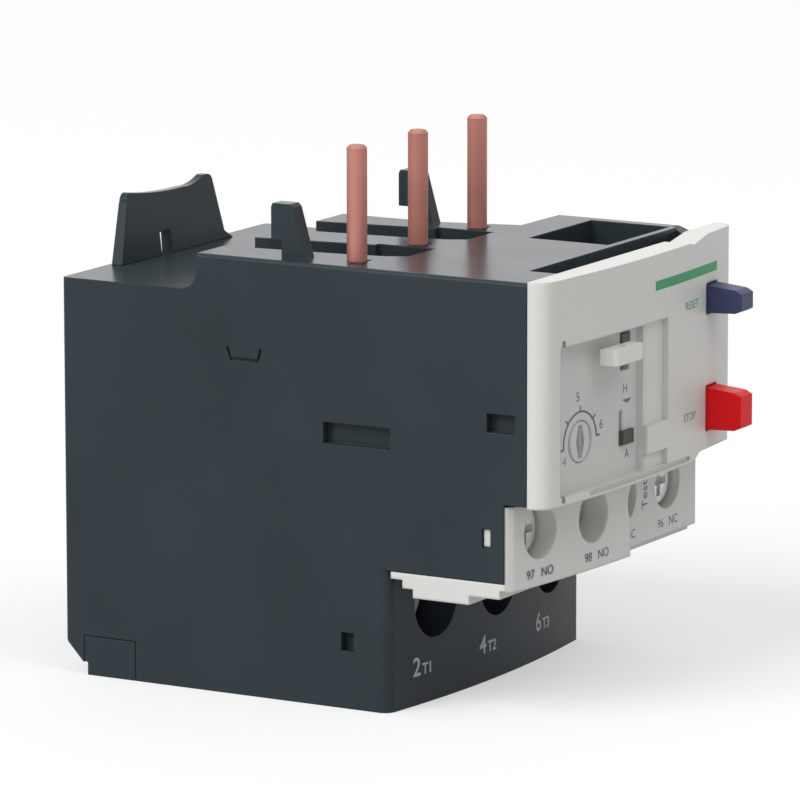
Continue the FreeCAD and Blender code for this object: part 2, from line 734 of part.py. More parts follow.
def bore_terminals(case):
    front = dims.foot_front + dims.foot_bulge + dims.gap
    seat = dims.power_room_front + dims.power_seat
    holes = [((pole_x(pole), dims.power_axis), dims.power_hole) for pole in POLES]
    sink_front(case, holes, (front, seat))
    bores = [((pole_x(pole), dims.power_axis), dims.power_shank + dims.bore_gap) for pole in POLES]
    sink_front(case, bores, (seat, dims.power_room_front))
    back = dims.power_room_front - dims.power_room_long
    rooms = [plan(about(pole_x(pole), dims.power_room_half), (dims.power_room_front, back))
             for pole in POLES]
    sink_plan(case, rooms, (dims.power_room_floor, dims.power_room_roof))
    entry_front = dims.power_entry_front
    entries = [plan(about(pole_x(pole), dims.power_entry_half),
                    (entry_front, entry_front - dims.power_entry_long)) for pole in POLES]
    sink_plan(case, entries, (dims.ground, dims.power_room_floor))
    slots = [plan(about(pole_x(pole), dims.bar_width / 2 + dims.slide_gap),
                  (dims.bar_station + dims.slide_gap, dims.bar_station - dims.bar_thick - dims.slide_gap))
             for pole in POLES]
    sink_plan(case, slots, (dims.power_room_roof, dims.pole_room_floor))
    pins = [((pin_x(pole), station(dims.pin_station)), dims.pin_diameter / 2 + dims.fit) for pole in POLES]
    sink_plan(case, pins, (dims.pole_room_top, dims.deck_height))
    reliefs = [plan((pin_x(pole), pin_x(pole) + dims.pin_relief),
                    (dims.pin_station + dims.relief_half, dims.pin_station - dims.relief_half))
               for pole in POLES]
    sink_plan(case, reliefs, (dims.deck_height - dims.relief_deep, dims.deck_height))


def carve_deck(case):
    """Slots and recesses that the contactor's own ribs drop into."""
    deck = dims.deck_height
    shelf = dims.shelf_height
    step = dims.step_station
    open_back = step - dims.gap
    for pole in (1, 2):
        pin = pin_x(pole)
        sink_plan(case, [[
            (pin - 7.6, station(40.0)), (pin - 1.5, station(40.0)), (pin - 1.5, station(32.7)),
            (pin - 2.3, station(32.7)), (pin - 4.5, station(open_back)), (pin - 11.4, station(open_back)),
            (pin - 9.7, station(33.0)), (pin - 8.8, station(37.7))]], (shelf, deck))
    edge = half_width()
    sink_plan(case, [[
        (edge, station(40.4)), (edge, station(open_back)), (dims.notch_left, station(open_back)),
        (dims.notch_left, station(30.0)), (dims.notch_left + 2.8, station(40.2))]], (shelf, deck))
    right = edge - dims.side_rib
    sink_plan(case, [plan((dims.pocket_left, right), (dims.pocket_front, dims.pocket_back))],
              (deck - dims.pocket_deep, deck))
    sink_plan(case, [plan((dims.groove_left, right), (dims.deck_front, dims.groove_back))],
              (deck - dims.groove_deep, deck))
    sink_side(case, [side([
        (dims.deck_front, deck), (dims.rib_end, deck), (dims.deck_front - 2.0, deck - 1.2),
        (dims.deck_front, deck - 1.6)])], (right, edge))


def carve_left_side(case):
    """Snap windows, a sprue groove and a finger notch in the left wall."""
    edge = -half_width()
    shallow = (edge, edge + dims.window_sink)
    sink_side(case, [side([(34.62, 30.2), (43.3, 30.2), (43.3, 32.65), (34.62, 32.65)])], shallow)
    sink_side(case, [side([(55.6, 33.4), (59.15, 33.4), (59.15, 35.55), (55.6, 35.55)])], shallow)
    gap = dims.gap
    low, high = dims.nose_low - gap, dims.nose_high + gap
    front, back = dims.nose_front + gap, dims.nose_back - gap
    sink_side(case, [side([(back, low), (front, low), (front, high), (back, high)])],
              (edge, edge + dims.wall))
    sink_side(case, [side([(36.87, 6.6), (38.56, 6.6), (38.56, 8.76), (36.87, 8.76)])], shallow)
    line = dims.groove_line
    sink_side(case, [side([
        (21.94, 40.1), (22.46, 38.6), (26.21, 38.6), (26.68, 40.1), (26.68 - line, 40.1),
        (26.21 - line / 2, 38.6 + line), (22.46 + line / 2, 38.6 + line), (21.94 + line, 40.1)])],
        (edge, edge + line))


def hook_profile():
    """Side view of a hook that grips the contactor's foot."""
    deck = dims.deck_height
    root = dims.hook_root
    top = deck + dims.hook_high
    neck = root - dims.hook_neck
    tip = neck - dims.hook_lip
    soft = dims.hook_round
    lean = root - dims.hook_lean
    return side([
        (root, deck), (neck, deck), (neck, deck + dims.hook_grip), (tip, deck + dims.hook_grip),
        (tip, top - soft), (tip + soft / 2, top), (lean - soft, top), (lean, top - soft)])


def make_bottom_cover():
    """The lid under the pole rooms; its tongue comes up the left side."""
    lid = new_body("bottom_cover")
    edge = half_width()
    left = room_x(0)[0] - dims.lid_ledge + dims.gap
    right = room_x(2)[1] + dims.lid_ledge - dims.gap
    front = dims.lid_station - dims.gap
    back = dims.lid_back + dims.gap
    raise_plan(lid, [plan((left, right), (front, back))], (dims.ground, dims.lid_thick))
    raise_plan(lid, [plan((-edge + dims.tongue_thick, left), (dims.tongue_front, back))],
               (dims.ground, dims.lid_thick))
    raise_side(lid, [side([
        (dims.tongue_front, dims.ground), (dims.tongue_front, dims.tongue_high),
        (dims.tongue_back, dims.tongue_high), (dims.tongue_back, dims.toe_step + dims.gap),
        (dims.toe_station, dims.toe_step), (dims.toe_station, dims.ground)])],
        (-edge, -edge + dims.tongue_thick))
    return keep(lid, "bottom_cover")


def make_latch_plate():
    """The upright plate at the rear that snaps behind the contactor, thinner towards its crest."""
    plate = new_body("latch_plate")
    shelf = dims.shelf_height
    top = shelf + dims.latch_high
    left, right = dims.latch_left, dims.latch_right
    low = top - dims.latch_dip
    soft = dims.latch_round
    dip = dims.latch_saddle
    thick = dims.latch_thick
    crest = (dims.latch_crest_left, dims.latch_crest_right)
    raise_front(plate, [[
        (left, shelf), (right + dims.gusset, shelf), (right, shelf + dims.gusset_high),
        (crest[1] + soft, top - soft, soft * 1.1, 1), (crest[1], top),
        (crest[1] - soft, top, dims.latch_sweep / 8, -1), (dip, low, dims.latch_sweep, -1),
        (crest[0], top, soft * 1.1, 1), (crest[0] - soft * 0.9, top - soft)],
    ], (thick, dims.zero))
    past = thick + dims.gap
    length = (left - dims.gap, right + dims.gusset + dims.gap)
    sink_side(plate, [side([(thick, shelf), (past, shelf), (past, top + dims.gap),
                            (dims.latch_crest_thick, top + dims.gap)])], length)
    sink_side(plate, [side([(dims.latch_lean, shelf), (dims.zero - dims.gap, top),
                            (dims.zero - dims.gap, shelf)])], length)
    window = (dims.latch_slot, dims.latch_slot + dims.latch_slot_wide)
    sink_front(plate, [square(window, (shelf + dims.gap, shelf + dims.latch_slot_high))],
               (thick, dims.zero))
    return keep(plate, "latch_plate")


# ---------------------------------------------------------------- front cover

def make_front_cover():
    """The bowed light cover with the settings recess and the openings for the controls."""
    cover = new_body("front_cover")
    edge = half_width()
    soft = dims.cover_corner
    flat = edge - soft
    front = station(dims.cover_edge)
    radius = cover_bow_radius()
    top = dims.cover_top + dims.cover_lift
    rise = face_station(flat) - dims.cover_edge + soft
    turn = (soft * soft + rise * rise) / (2 * soft)
    raise_plan(cover, [[
        (edge, station(dims.cover_back)), (-edge, station(dims.cover_back)),
        (-edge, front + soft, turn, 1), (-flat, station(face_station(flat)), radius, 1),
        (flat, station(face_station(flat)), turn, 1), (edge, front + soft)]],
        (dims.cover_bottom, top))
    far = dims.cover_edge + dims.cover_bow + 1.0
    whole = (far, dims.cover_back)
    sink_front(cover, [
        [(-edge - 1, dims.cover_top), (9.8, dims.cover_top), (11.0, dims.cover_top - 0.25),
         (14.8, top), (14.8, top + 1), (-edge - 1, top + 1)]], whole)
    corner = dims.cover_low_corner
    step = dims.cover_bottom + 0.9
    sink_front(cover, [
        [(11.0, dims.cover_bottom), (12.8, step), (edge - corner, step, corner, 1),
         (edge, step + corner), (edge + 1, step + corner), (edge + 1, dims.cover_bottom - 1),
         (11.0, dims.cover_bottom - 1)]], whole)
    carve_cover(cover, far)
    sink_front(cover, [square((edge - dims.snap_wide - dims.gap, edge + dims.gap),
                              (dims.snap_low - dims.gap, dims.snap_high + dims.gap))], whole)
    rib_back = dims.cover_back - dims.rib_long
    ribs = [plan((-edge + dims.wall + 0.3, -edge + dims.wall + 1.5), (dims.cover_back, rib_back)),
            plan((edge - dims.wall - 1.5, edge - dims.wall - 0.3), (dims.cover_back, rib_back))]
    for rib in ribs:
        raise_plan(cover, [rib], (27.0, 44.0))
    raise_plan(cover, [plan((-18.0, 12.0), (dims.cover_back, rib_back))],
               (dims.front_room_top - 1.3, dims.front_room_top - 0.3))
    return keep(cover, "front_cover")


def carve_cover(cover, far):
    radius = cover_bow_radius() - dims.window_deep
    left, right = dims.window_left, dims.window_right
    deep = dims.window_deep
    sink_plan(cover, [[
        (right, station(face_station(right) - deep), radius, -1), (left, station(face_station(left) - deep)),
        (left, station(far)), (right, station(far))]], (dims.window_bottom, dims.window_top))
    for z in ((dims.scoop_foot, dims.window_top), (dims.window_bottom, dims.scoop_rest)):
        sink_plan(cover, [[
            (dims.scoop_right, station(face_station(dims.scoop_right) - dims.scoop_deep)),
            (right - dims.gap, station(face_station(right) - dims.scoop_deep)),
            (right - dims.gap, station(far)), (dims.scoop_right, station(far))]], z)
    start, end = dims.sill_left, dims.sill_right
    sink_plan(cover, [[
        (end, station(face_station(end) - dims.sill_deep), radius + dims.window_deep - dims.sill_deep, -1),
        (start, station(face_station(start) - dims.sill_deep)),
        (start, station(far)), (end, station(far))]],
        (dims.window_bottom - dims.sill_low, dims.window_bottom - dims.sill_low + dims.sill_wide))
    whole = (far, dims.cover_back)
    sink_front(cover, [((dims.dial_x, dims.dial_z), dims.dial_radius + dims.gap)], whole)
    around = dims.gap * 1.5
    sink_front(cover, [square(about(dims.mode_slit, dims.mode_slit_half), (dims.mode_low, dims.mode_high))],
               whole)
    sink_front(cover, [square(about(dims.test_x, dims.test_half), (dims.test_low, dims.test_high))], whole)
    wide = (dims.button_left - around, dims.button_left + dims.button_wide + around)
    sink_front(cover, [square(wide, (dims.reset_low - around, dims.reset_high + around))], whole)
    sink_front(cover, [square(wide, (dims.stop_low - around, dims.stop_high + around))], whole)
    axis = (dims.hinge_x, station(pane_middle()))
    sink_plan(cover, [(axis, dims.hinge_radius + dims.fit)],
              (dims.window_top, dims.window_top + dims.hinge_seat))
    sink_plan(cover, [(axis, dims.hinge_radius + dims.fit)],
              (dims.window_bottom - dims.hinge_seat, dims.window_bottom))


def pane_front(x):
    return face_station(x) - dims.gap


def pane_middle():
    return pane_front(dims.hinge_x) - dims.pane_thick / 2


def make_clear_cover():
    """The clear pane over the settings, hinged along its left edge."""
    pane = new_body("clear_cover")
    left = dims.hinge_x
    right = dims.window_right - dims.gap
    radius = cover_bow_radius() - dims.gap
    thick = dims.pane_thick
    z = (dims.window_bottom + dims.gap, dims.window_top - dims.gap)
    raise_plan(pane, [[
        (left, station(pane_front(left)), radius, 1), (right, station(pane_front(right))),
        (right, station(pane_front(right) - thick), radius - thick, -1),
        (left, station(pane_front(left) - thick))]], z)
    axis = (left, station(pane_middle()))
    raise_plan(pane, [(axis, thick / 2 + dims.fit)], z)
    seat = dims.hinge_seat - dims.gap
    raise_plan(pane, [(axis, dims.hinge_radius)], (z[0] - seat, z[1] + seat))
    return keep(pane, "clear_cover")


def make_sealing_lug():
    """The lug on the pane that takes a sealing wire."""
    lug = new_body("sealing_lug")
    left, right = dims.lug_left, dims.lug_left + dims.lug_wide
    radius = cover_bow_radius() - dims.gap
    front = dims.lug_front
    soft = dims.lug_round
    raise_plan(lug, [[
        (left, station(pane_front(left))), (left, station(front) + soft, soft, 1),
        (left + soft, station(front)), (right - soft, station(front), soft, 1),
        (right, station(front) + soft), (right, station(pane_front(right)), radius, -1)]],
        (dims.lug_low, dims.lug_high))
    hole = ((left + dims.lug_wide / 2, station(front - dims.lug_hole_back)), dims.lug_hole)
    sink_plan(lug, [hole], (dims.lug_low, dims.lug_high))
    return keep(lug, "sealing_lug")


def make_dial():
    """The current setting dial; its off-centre cam moves the compensating strip's rest."""
    centre = (dims.dial_x, dims.dial_z)
    front = face_station(dims.dial_x) - dims.window_deep
    disc = rod("dial_disc", centre, (front, dims.cover_back - dims.gap), dims.dial_radius)
    flange = rod("dial_flange", centre, (dims.cover_back - dims.gap, dims.cover_back - 1.0),
                 dims.dial_radius + 0.8)
    shaft = rod("dial_shaft", centre, (dims.cover_back - 1.0, dims.dial_back + 1.0), dims.dial_shaft)
    cam = rod("dial_cam", (dims.dial_x, dims.dial_z - 0.5), (dims.dial_back + 1.0, dims.dial_back),
              dims.dial_shaft + 0.8)
    slot = box("dial_slot", about(dims.dial_x, 0.35), (front, front - 0.7),
               (dims.dial_z - dims.dial_radius * 0.8, dims.dial_z + dims.dial_radius * 0.8))
    body = join("dial_body", [disc, flange, shaft, cam])
    return keep(cut("adjustment_dial", body, [slot]), "adjustment_dial")


def slider_plate(label, middle, half, z):
    """The plate that keeps a slider behind the cover."""
    behind = dims.cover_back - dims.gap
    return box(label + "_plate", about(middle, half), (behind, behind - dims.slider_thick),
               (z[0] - dims.slider_lip, z[1] + dims.slider_lip))


def make_mode_selector():
    """A small pad that slides over the recess floor, on a stem in a narrow slit."""
    low = dims.mode_low + dims.gap
    high = dims.mode_high - dims.gap - dims.mode_travel
    floor = face_station(dims.mode_x + dims.mode_half) - dims.window_deep
    name = "mode_selector"
    pad_back = floor + dims.fit
    knob = box(name + "_pad", about(dims.mode_x, dims.mode_half), (pad_back + dims.mode_thick, pad_back),
               (low, high))
    stem = box(name + "_stem", about(dims.mode_slit, dims.mode_slit_half - dims.gap / 2),
               (pad_back + dims.fit, dims.cover_back - dims.gap - dims.fit), (low, high))
    return keep(join(name, [knob, stem, slider_plate(name, dims.mode_slit, dims.mode_half, (low, high))]),
                name)


def make_test_slider():
    """A knob in a slot of the recess floor; its ends show above and below the sealing lug."""
    low = dims.test_low + dims.gap + dims.test_travel
    high = dims.test_high - dims.gap
    name = "test_slider"
    front = face_station(dims.test_x) - dims.window_deep + dims.knob_stand
    knob = box(name + "_knob", about(dims.test_x, dims.test_half - dims.gap),
               (front, dims.cover_back - dims.gap), (low, high))
    lip = dims.test_half + dims.slider_lip
    return keep(join(name, [knob, slider_plate(name, dims.test_x, lip, (low, high))]), name)


def make_button(label, z, flange, stem, stem_back, seat):
    """A button with bevelled front, a flange behind the cover and a stem inside its spring."""
    x = (dims.button_left, dims.button_left + dims.button_wide)
    middle = (dims.button_left + dims.button_wide / 2, (z[0] + z[1]) / 2)
    front = dims.overall_depth
    bevel = dims.button_bevel
    body = new_body(label)
    root = dims.cover_edge
    draft = dims.button_draft
    raise_side(body, [side([
        (seat, z[0]), (root, z[0]), (front - bevel * 2, z[0] + draft), (front, z[0] + bevel + draft),
        (front, z[1] - bevel - draft * 2), (front - bevel * 2, z[1] - draft * 2), (root, z[1]),
        (seat, z[1])])], x)
    raise_front(body, [square((x[0] - dims.flange_lip, x[1] + dims.flange_lip), flange)],
                (dims.cover_back - dims.gap, seat))
    raise_front(body, [(middle, stem)], (seat, stem_back))
    return keep(body, label)


def make_spring(label, z, inner, outer, front, back):
    """A coil spring, drawn as the sleeve that its turns fill."""
    centre = (dims.button_left + dims.button_wide / 2, (z[0] + z[1]) / 2)
    whole = rod(label + "_outer", centre, (front, back), outer)
    bore = rod(label + "_bore", centre, (front, back), inner)
    return keep(cut(label, whole, [bore]), label)


def make_controls():
    reset = (dims.reset_low, dims.reset_high)
    stop = (dims.stop_low, dims.stop_high)
    seat = dims.cover_back - dims.flange_thick
    room = dims.front_room_top
    make_button("reset_button", reset, (reset[0] - dims.flange_lip, room - dims.gap * 2),
                dims.reset_stem, dims.front_room_station + dims.button_travel + dims.gap * 2, seat)
    make_spring("reset_spring", reset, dims.reset_stem + 0.25, dims.reset_stem + 0.9,
                seat - dims.fit, dims.front_room_station + dims.fit)
    stop_back = dims.post_front + dims.button_travel + dims.gap * 2
    make_button("stop_button", stop, (stop[0] - dims.flange_lip, stop[1] + dims.flange_lip),
                dims.stop_stem, stop_back, seat)
    make_spring("stop_spring", stop, dims.stop_stem + 0.25, dims.stop_stem + 0.9,
                seat - dims.fit, dims.post_front + dims.fit)


# ---------------------------------------------------------------- auxiliary block

def make_aux_block():
    """The light terminal block under the cover: stepped keel, bowed left and flat right front."""
    block = new_body("aux_block")
    edge = half_width()
    inside = edge - dims.wall - dims.gap
    chin = dims.chin_station + dims.gap
    raise_plan(block, [plan((-inside, inside), (chin, dims.aux_back))],
               (dims.overhang_height + dims.gap, dims.aux_top))
    raise_plan(block, [plan((-inside, inside), (chin, dims.step_rear))],
               (dims.overhang_height - dims.gap, dims.overhang_height + dims.gap))
    rear = dims.foot_front + dims.gap * 1.5
    flat = dims.foot_bulge
    radius = (edge * edge + flat * flat) / (2 * flat)
    raise_plan(block, [[
        (edge, station(rear)), (edge, station(chin)), (-edge, station(chin)),
        (-edge, station(rear), radius, 1)]], (dims.strip_low, dims.overhang_height - dims.gap))
    raise_plan(block, [plan((-edge, edge), (dims.chin_station - 0.5, dims.step_rear))],
               (dims.strip_low - 0.95, dims.strip_low))
    raise_plan(block, [plan((-edge, edge), (dims.keel_front, dims.keel_rear))],
               (dims.aux_keel, dims.strip_low - 0.95))
    soft = dims.aux_corner
    bow = dims.aux_bow_radius
    split = dims.aux_split
    left_face = dims.aux_bow_edge
    raise_plan(block, [[
        (edge, station(chin)), (-edge, station(chin)), (-edge + soft * 0.7, station(left_face), bow, 1),
        (split, station(dims.aux_bow)), (split, station(dims.aux_face)),
        (edge, station(dims.aux_face))]], (dims.aux_bottom, dims.aux_top))
    bore_aux(block)
    low, high = dims.nose_low, dims.nose_high
    front, back = dims.nose_front, dims.nose_back
    raise_side(block, [side([(back, low), (front, low), (front, high), (back, high)])],
               (-edge + dims.nose_sink, -inside))
    x = (dims.button_left - 1.0, dims.button_left + dims.button_wide + 1.0)
    raise_plan(block, [plan(x, (dims.post_front, dims.post_front - 1.0))],
               (dims.aux_top, dims.stop_high + 0.2))
    return keep(block, "aux_block")


def bore_aux(block):
    front = dims.aux_bow + 1.0
    seat = dims.aux_room_front + dims.aux_seat
    back = dims.aux_room_front - dims.aux_room_long
    sink_front(block, [((aux_x(n), dims.aux_axis), dims.aux_hole) for n in AUX], (front, seat))
    sink_front(block, [((aux_x(n), dims.aux_axis), dims.aux_shank + dims.bore_gap) for n in AUX],
               (seat, dims.aux_room_front))
    sink_plan(block, [plan(about(aux_x(n), dims.aux_room_half), (dims.aux_room_front, back))
                      for n in AUX], (dims.aux_room_floor, dims.aux_room_roof))
    sink_plan(block, [plan(about(aux_x(n), dims.aux_entry_half), (back + dims.aux_entry_long, back))
                      for n in AUX], (dims.aux_keel, dims.aux_room_floor))
    bar = (dims.contact_plane + dims.gap * 2, dims.contact_plane - dims.contact_thick - dims.gap * 2)
    sink_plan(block, [plan(about(aux_x(n), dims.contact_half + dims.gap), bar) for n in AUX],
              (dims.aux_room_roof, dims.aux_top))
    guide = (dims.carrier_front + dims.gap, dims.carrier_front - dims.carrier_thick - dims.gap)
    sink_plan(block, [plan((dims.leg_left - dims.gap, dims.leg_left + dims.leg_wide + dims.gap), guide)],
              (dims.leg_low - 0.5, dims.aux_top))


# ---------------------------------------------------------------- terminals

def make_terminal(label, x, z, head, head_long, shank, seat, shank_back, cage):
    """A clamp screw with a cross recess, and the cage that it pulls up on the bar."""
    head_back = seat + dims.fit
    body = join(label + "_screw_body", [
        rod(label + "_head", (x, z), (head_back + head_long, head_back), head),
        rod(label + "_shank", (x, z), (head_back, shank_back), shank)])
    wide = head * 0.18
    slots = [box(label + "_cross_a", about(x, wide), (head_back + head_long, head_back + head_long * 0.4),
                 (z - head * 0.7, z + head * 0.7)),
             box(label + "_cross_b", about(x, head * 0.7),
                 (head_back + head_long, head_back + head_long * 0.4), (z - wide, z + wide))]
    keep(cut(label + "_screw", body, slots), label + "_screw")
    half, wall, front, back, low, high = cage
    outer = box(label + "_cage_outer", about(x, half), (front, back), (low, high))
    inner = box(label + "_cage_inner", about(x, half - wall), (front - wall, back + wall), (low, high))
    hole = rod(label + "_cage_hole", (x, z), (front, front - wall), shank + dims.fit)
    keep(cut(label + "_cage", outer, [inner, hole]), label + "_cage")


def make_terminals():
    for pole in POLES:
        seat = dims.power_room_front + dims.power_seat
        front = dims.power_room_front - dims.power_travel - dims.gap
        low = dims.power_axis - dims.power_cage_high / 2
        cage = (dims.power_cage_half, dims.power_cage_wall, front, front - dims.power_cage_long,
                low, low + dims.power_cage_high)
        make_terminal("power_%d" % (pole + 1), pole_x(pole), dims.power_axis, dims.power_head,
                      dims.power_head_long, dims.power_shank, seat, dims.bar_station + dims.gap, cage)
    for n in AUX:
        seat = dims.aux_room_front + dims.aux_seat
        front = dims.aux_room_front - dims.aux_travel - dims.gap
        low = dims.aux_axis - dims.aux_cage_high / 2
        cage = (dims.aux_cage_half, dims.aux_cage_wall, front, front - dims.aux_cage_long,
                low, low + dims.aux_cage_high)
        make_terminal("aux_%d" % (95 + (n + 2) % 4), aux_x(n), dims.aux_axis, dims.aux_head,
                      dims.aux_head_long, dims.aux_shank, seat, dims.contact_plane + dims.gap, cage)


# ---------------------------------------------------------------- poles

def make_pole(pole):
    """One pole: the contact pin, the heater winding on its strip, and the load bar."""
    number_text = str(pole + 1)
    x = pole_x(pole)
    pin = pin_x(pole)
    name = "contact_pin_" + number_text
    place = (pin, dims.pin_station)
    root = (dims.pin_station + dims.pin_root, dims.pin_station - dims.pin_root)
    radius = dims.pin_diameter / 2
    neck = dims.deck_height + dims.pin_stand
    shoulder = dims.pin_top - dims.pin_bevel
    keep(join(name, [
        box(name + "_root", about(pin, dims.pin_root), root, (dims.pin_foot, neck)),
        post(name + "_free", place, (neck, shoulder), radius),
        post(name + "_tip", place, (shoulder, dims.pin_top), radius, radius - dims.pin_bevel),
    ]), name)
    tag = "load_bar_" + number_text
    half = dims.bar_width / 2
    thick = dims.bar_thick
    top = dims.pole_room_floor + dims.gap * 4 + thick
    foot = dims.strip_foot - dims.gap - 0.9
    down = dims.lower_room_front - dims.gap * 5
    back = dims.strip_station - dims.winding_half + dims.winding_thick
    keep(join(tag, [
        box(tag + "_tongue", about(x, half), (dims.bar_station, dims.bar_station - thick), (8.2, top)),
        box(tag + "_top", about(x, half), (dims.bar_station, down - thick), (top - thick, top)),
        box(tag + "_down", about(x, half), (down, down - thick), (foot - thick, top)),
        box(tag + "_foot", about(x, half), (down, back - 0.6), (foot - thick, foot)),
        box(tag + "_pad", about(x, half - 1.0), (dims.strip_station + 3.5, dims.strip_station - 3.5),
            (foot, foot + 0.9)),
    ]), tag)
    keep(box("bimetal_" + number_text, about(x, dims.strip_thick / 2),
             (dims.strip_station + dims.strip_width / 2, dims.strip_station - dims.strip_width / 2),
             (dims.strip_foot, dims.strip_top)), "bimetal_" + number_text)
    make_winding(pole, foot)


def make_winding(pole, foot):
    """A ribbon wound round the strip: level sides and back, and a front that climbs a turn."""
    tag = "heater_%d" % (pole + 1)
    x = pole_x(pole)
    pin = pin_x(pole)
    thick = dims.winding_thick
    inside = dims.winding_room
    outside = inside + thick
    front = dims.strip_station + dims.winding_half
    back = dims.strip_station - dims.winding_half
    band = dims.winding_band
    turns = int(dims.winding_turns.number)
    pieces = []
    climbs = doc.addObject("Sketcher::SketchObject", tag + "_climbs")
    climbs.Placement.Rotation = Rotation(Vector(1, 0, 0), 90)
    bind(climbs, "Placement.Base.y", station(front - thick))
    for turn in range(turns):
        low = dims.winding_foot + dims.winding_pitch * turn
        level = (low, low + band)
        pieces.append(box("%s_left_%d" % (tag, turn), (x - outside, x - inside), (front, back), level))
        pieces.append(box("%s_back_%d" % (tag, turn), (x - outside, x + outside), (back + thick, back), level))
        pieces.append(box("%s_right_%d" % (tag, turn), (x + inside, x + outside), (front, back), level))
        if turn < turns - 1:
            rise = low + dims.winding_pitch
            outline(climbs, [(x - inside, low), (x + inside, rise), (x + inside, rise + band),
                             (x - inside, low + band)])
    slant = doc.addObject("Part::Extrusion", tag + "_slants")
    slant.Base = climbs
    slant.DirMode = "Normal"
    bind(slant, "LengthFwd", thick)
    slant.Solid = True
    pieces.append(slant)
    low = dims.winding_foot
    top = dims.winding_foot + dims.winding_pitch * (turns - 1) + band
    bar = about(x, 0.8)
    pieces.append(box(tag + "_foot", bar, (back + thick, back), (foot, low)))
    room_front = dims.pin_station + 0.8
    cross = (top - band, top)
    rise_x = about(pin, 0.8)
    pieces.append(box(tag + "_lead", (x - outside, x - outside + 1.2), (room_front, front), cross))
    pieces.append(box(tag + "_cross", (pin - 0.8, x - outside + 1.2), (room_front, room_front - 1.0), cross))
    pieces.append(box(tag + "_riser", rise_x, (room_front, room_front - 1.6), (top - band, dims.pin_foot)))
    keep(join(tag, pieces), tag)


# ---------------------------------------------------------------- trip mechanism

def make_slides():
    """The two comb slides that the strips push, and the link between them."""
    left = room_x(0)[0] + dims.slide_travel + dims.slide_gap
    right = room_x(2)[1] - dims.slide_gap * 2
    front = dims.passage_front - dims.slide_gap
    back = dims.passage_back + dims.slide_gap
    hole = dims.strip_width / 2 + dims.slide_gap
    tips = [(pole_x(pole) - dims.strip_thick / 2 - dims.slide_gap, pole_x(pole) + dims.strip_thick / 2
             + dims.slide_gap) for pole in POLES]
    windows = [plan(tip, (dims.strip_station + hole, dims.strip_station - hole)) for tip in tips]
    push = new_body("push_slide")
    z = (dims.push_level, dims.push_level + dims.slide_thick)
    raise_plan(push, [plan((left, right), (front, back))], z)
    arm = (dims.lever_x + dims.arm_near, dims.lever_x + dims.arm_near + dims.arm_wide)
    raise_plan(push, [plan(arm, (dims.arm_front, front))], z)
    sink_plan(push, windows, z)
    keep(push, "push_slide")
    upper = new_body("differential_slide")
    z = (dims.differential_level, dims.differential_level + dims.slide_thick)
    raise_plan(upper, [plan((left, right), (front, back))], z)
    sink_plan(upper, windows, z)
    keep(upper, "differential_slide")
    post_z = (dims.push_level + dims.slide_thick, dims.differential_level - dims.gap)
    keep(box("differential_lever", (right - 3.6, right - 0.6), (back + 4.0, back), post_z),
         "differential_lever")


def make_trip_lever():
    """The bell crank that turns the slides' push into the contacts' lift."""
    centre = (dims.lever_x, dims.lever_z)
    pin_back = dims.front_room_station - dims.pin_seat + dims.fit
    hub_back = dims.front_room_station + dims.slide_gap
    hub = (hub_back + dims.hub_long, hub_back)
    keep(rod("trip_lever_pin", centre, (hub[0] + 0.5, pin_back), dims.lever_pin), "trip_lever_pin")
    x, z = centre
    body = join("trip_lever_body", [
        rod("trip_lever_hub", centre, hub, dims.hub_radius),
        box("trip_lever_post", about(x, 1.2), hub, (z, z + 5.5)),
        box("trip_lever_arm", (x, x + dims.lever_arm), hub, (z - 1.1, z + 1.1))])
    hole = rod("trip_lever_hole", centre, hub, dims.lever_pin + dims.fit)
    keep(cut("trip_lever", body, [hole]), "trip_lever")
    keep(box("compensating_bimetal", about(x, 0.4), (hub[0] - 0.3, hub[1] + 0.3),
             (z + 5.5, dims.push_level + dims.slide_thick + 0.9)), "compensating_bimetal")


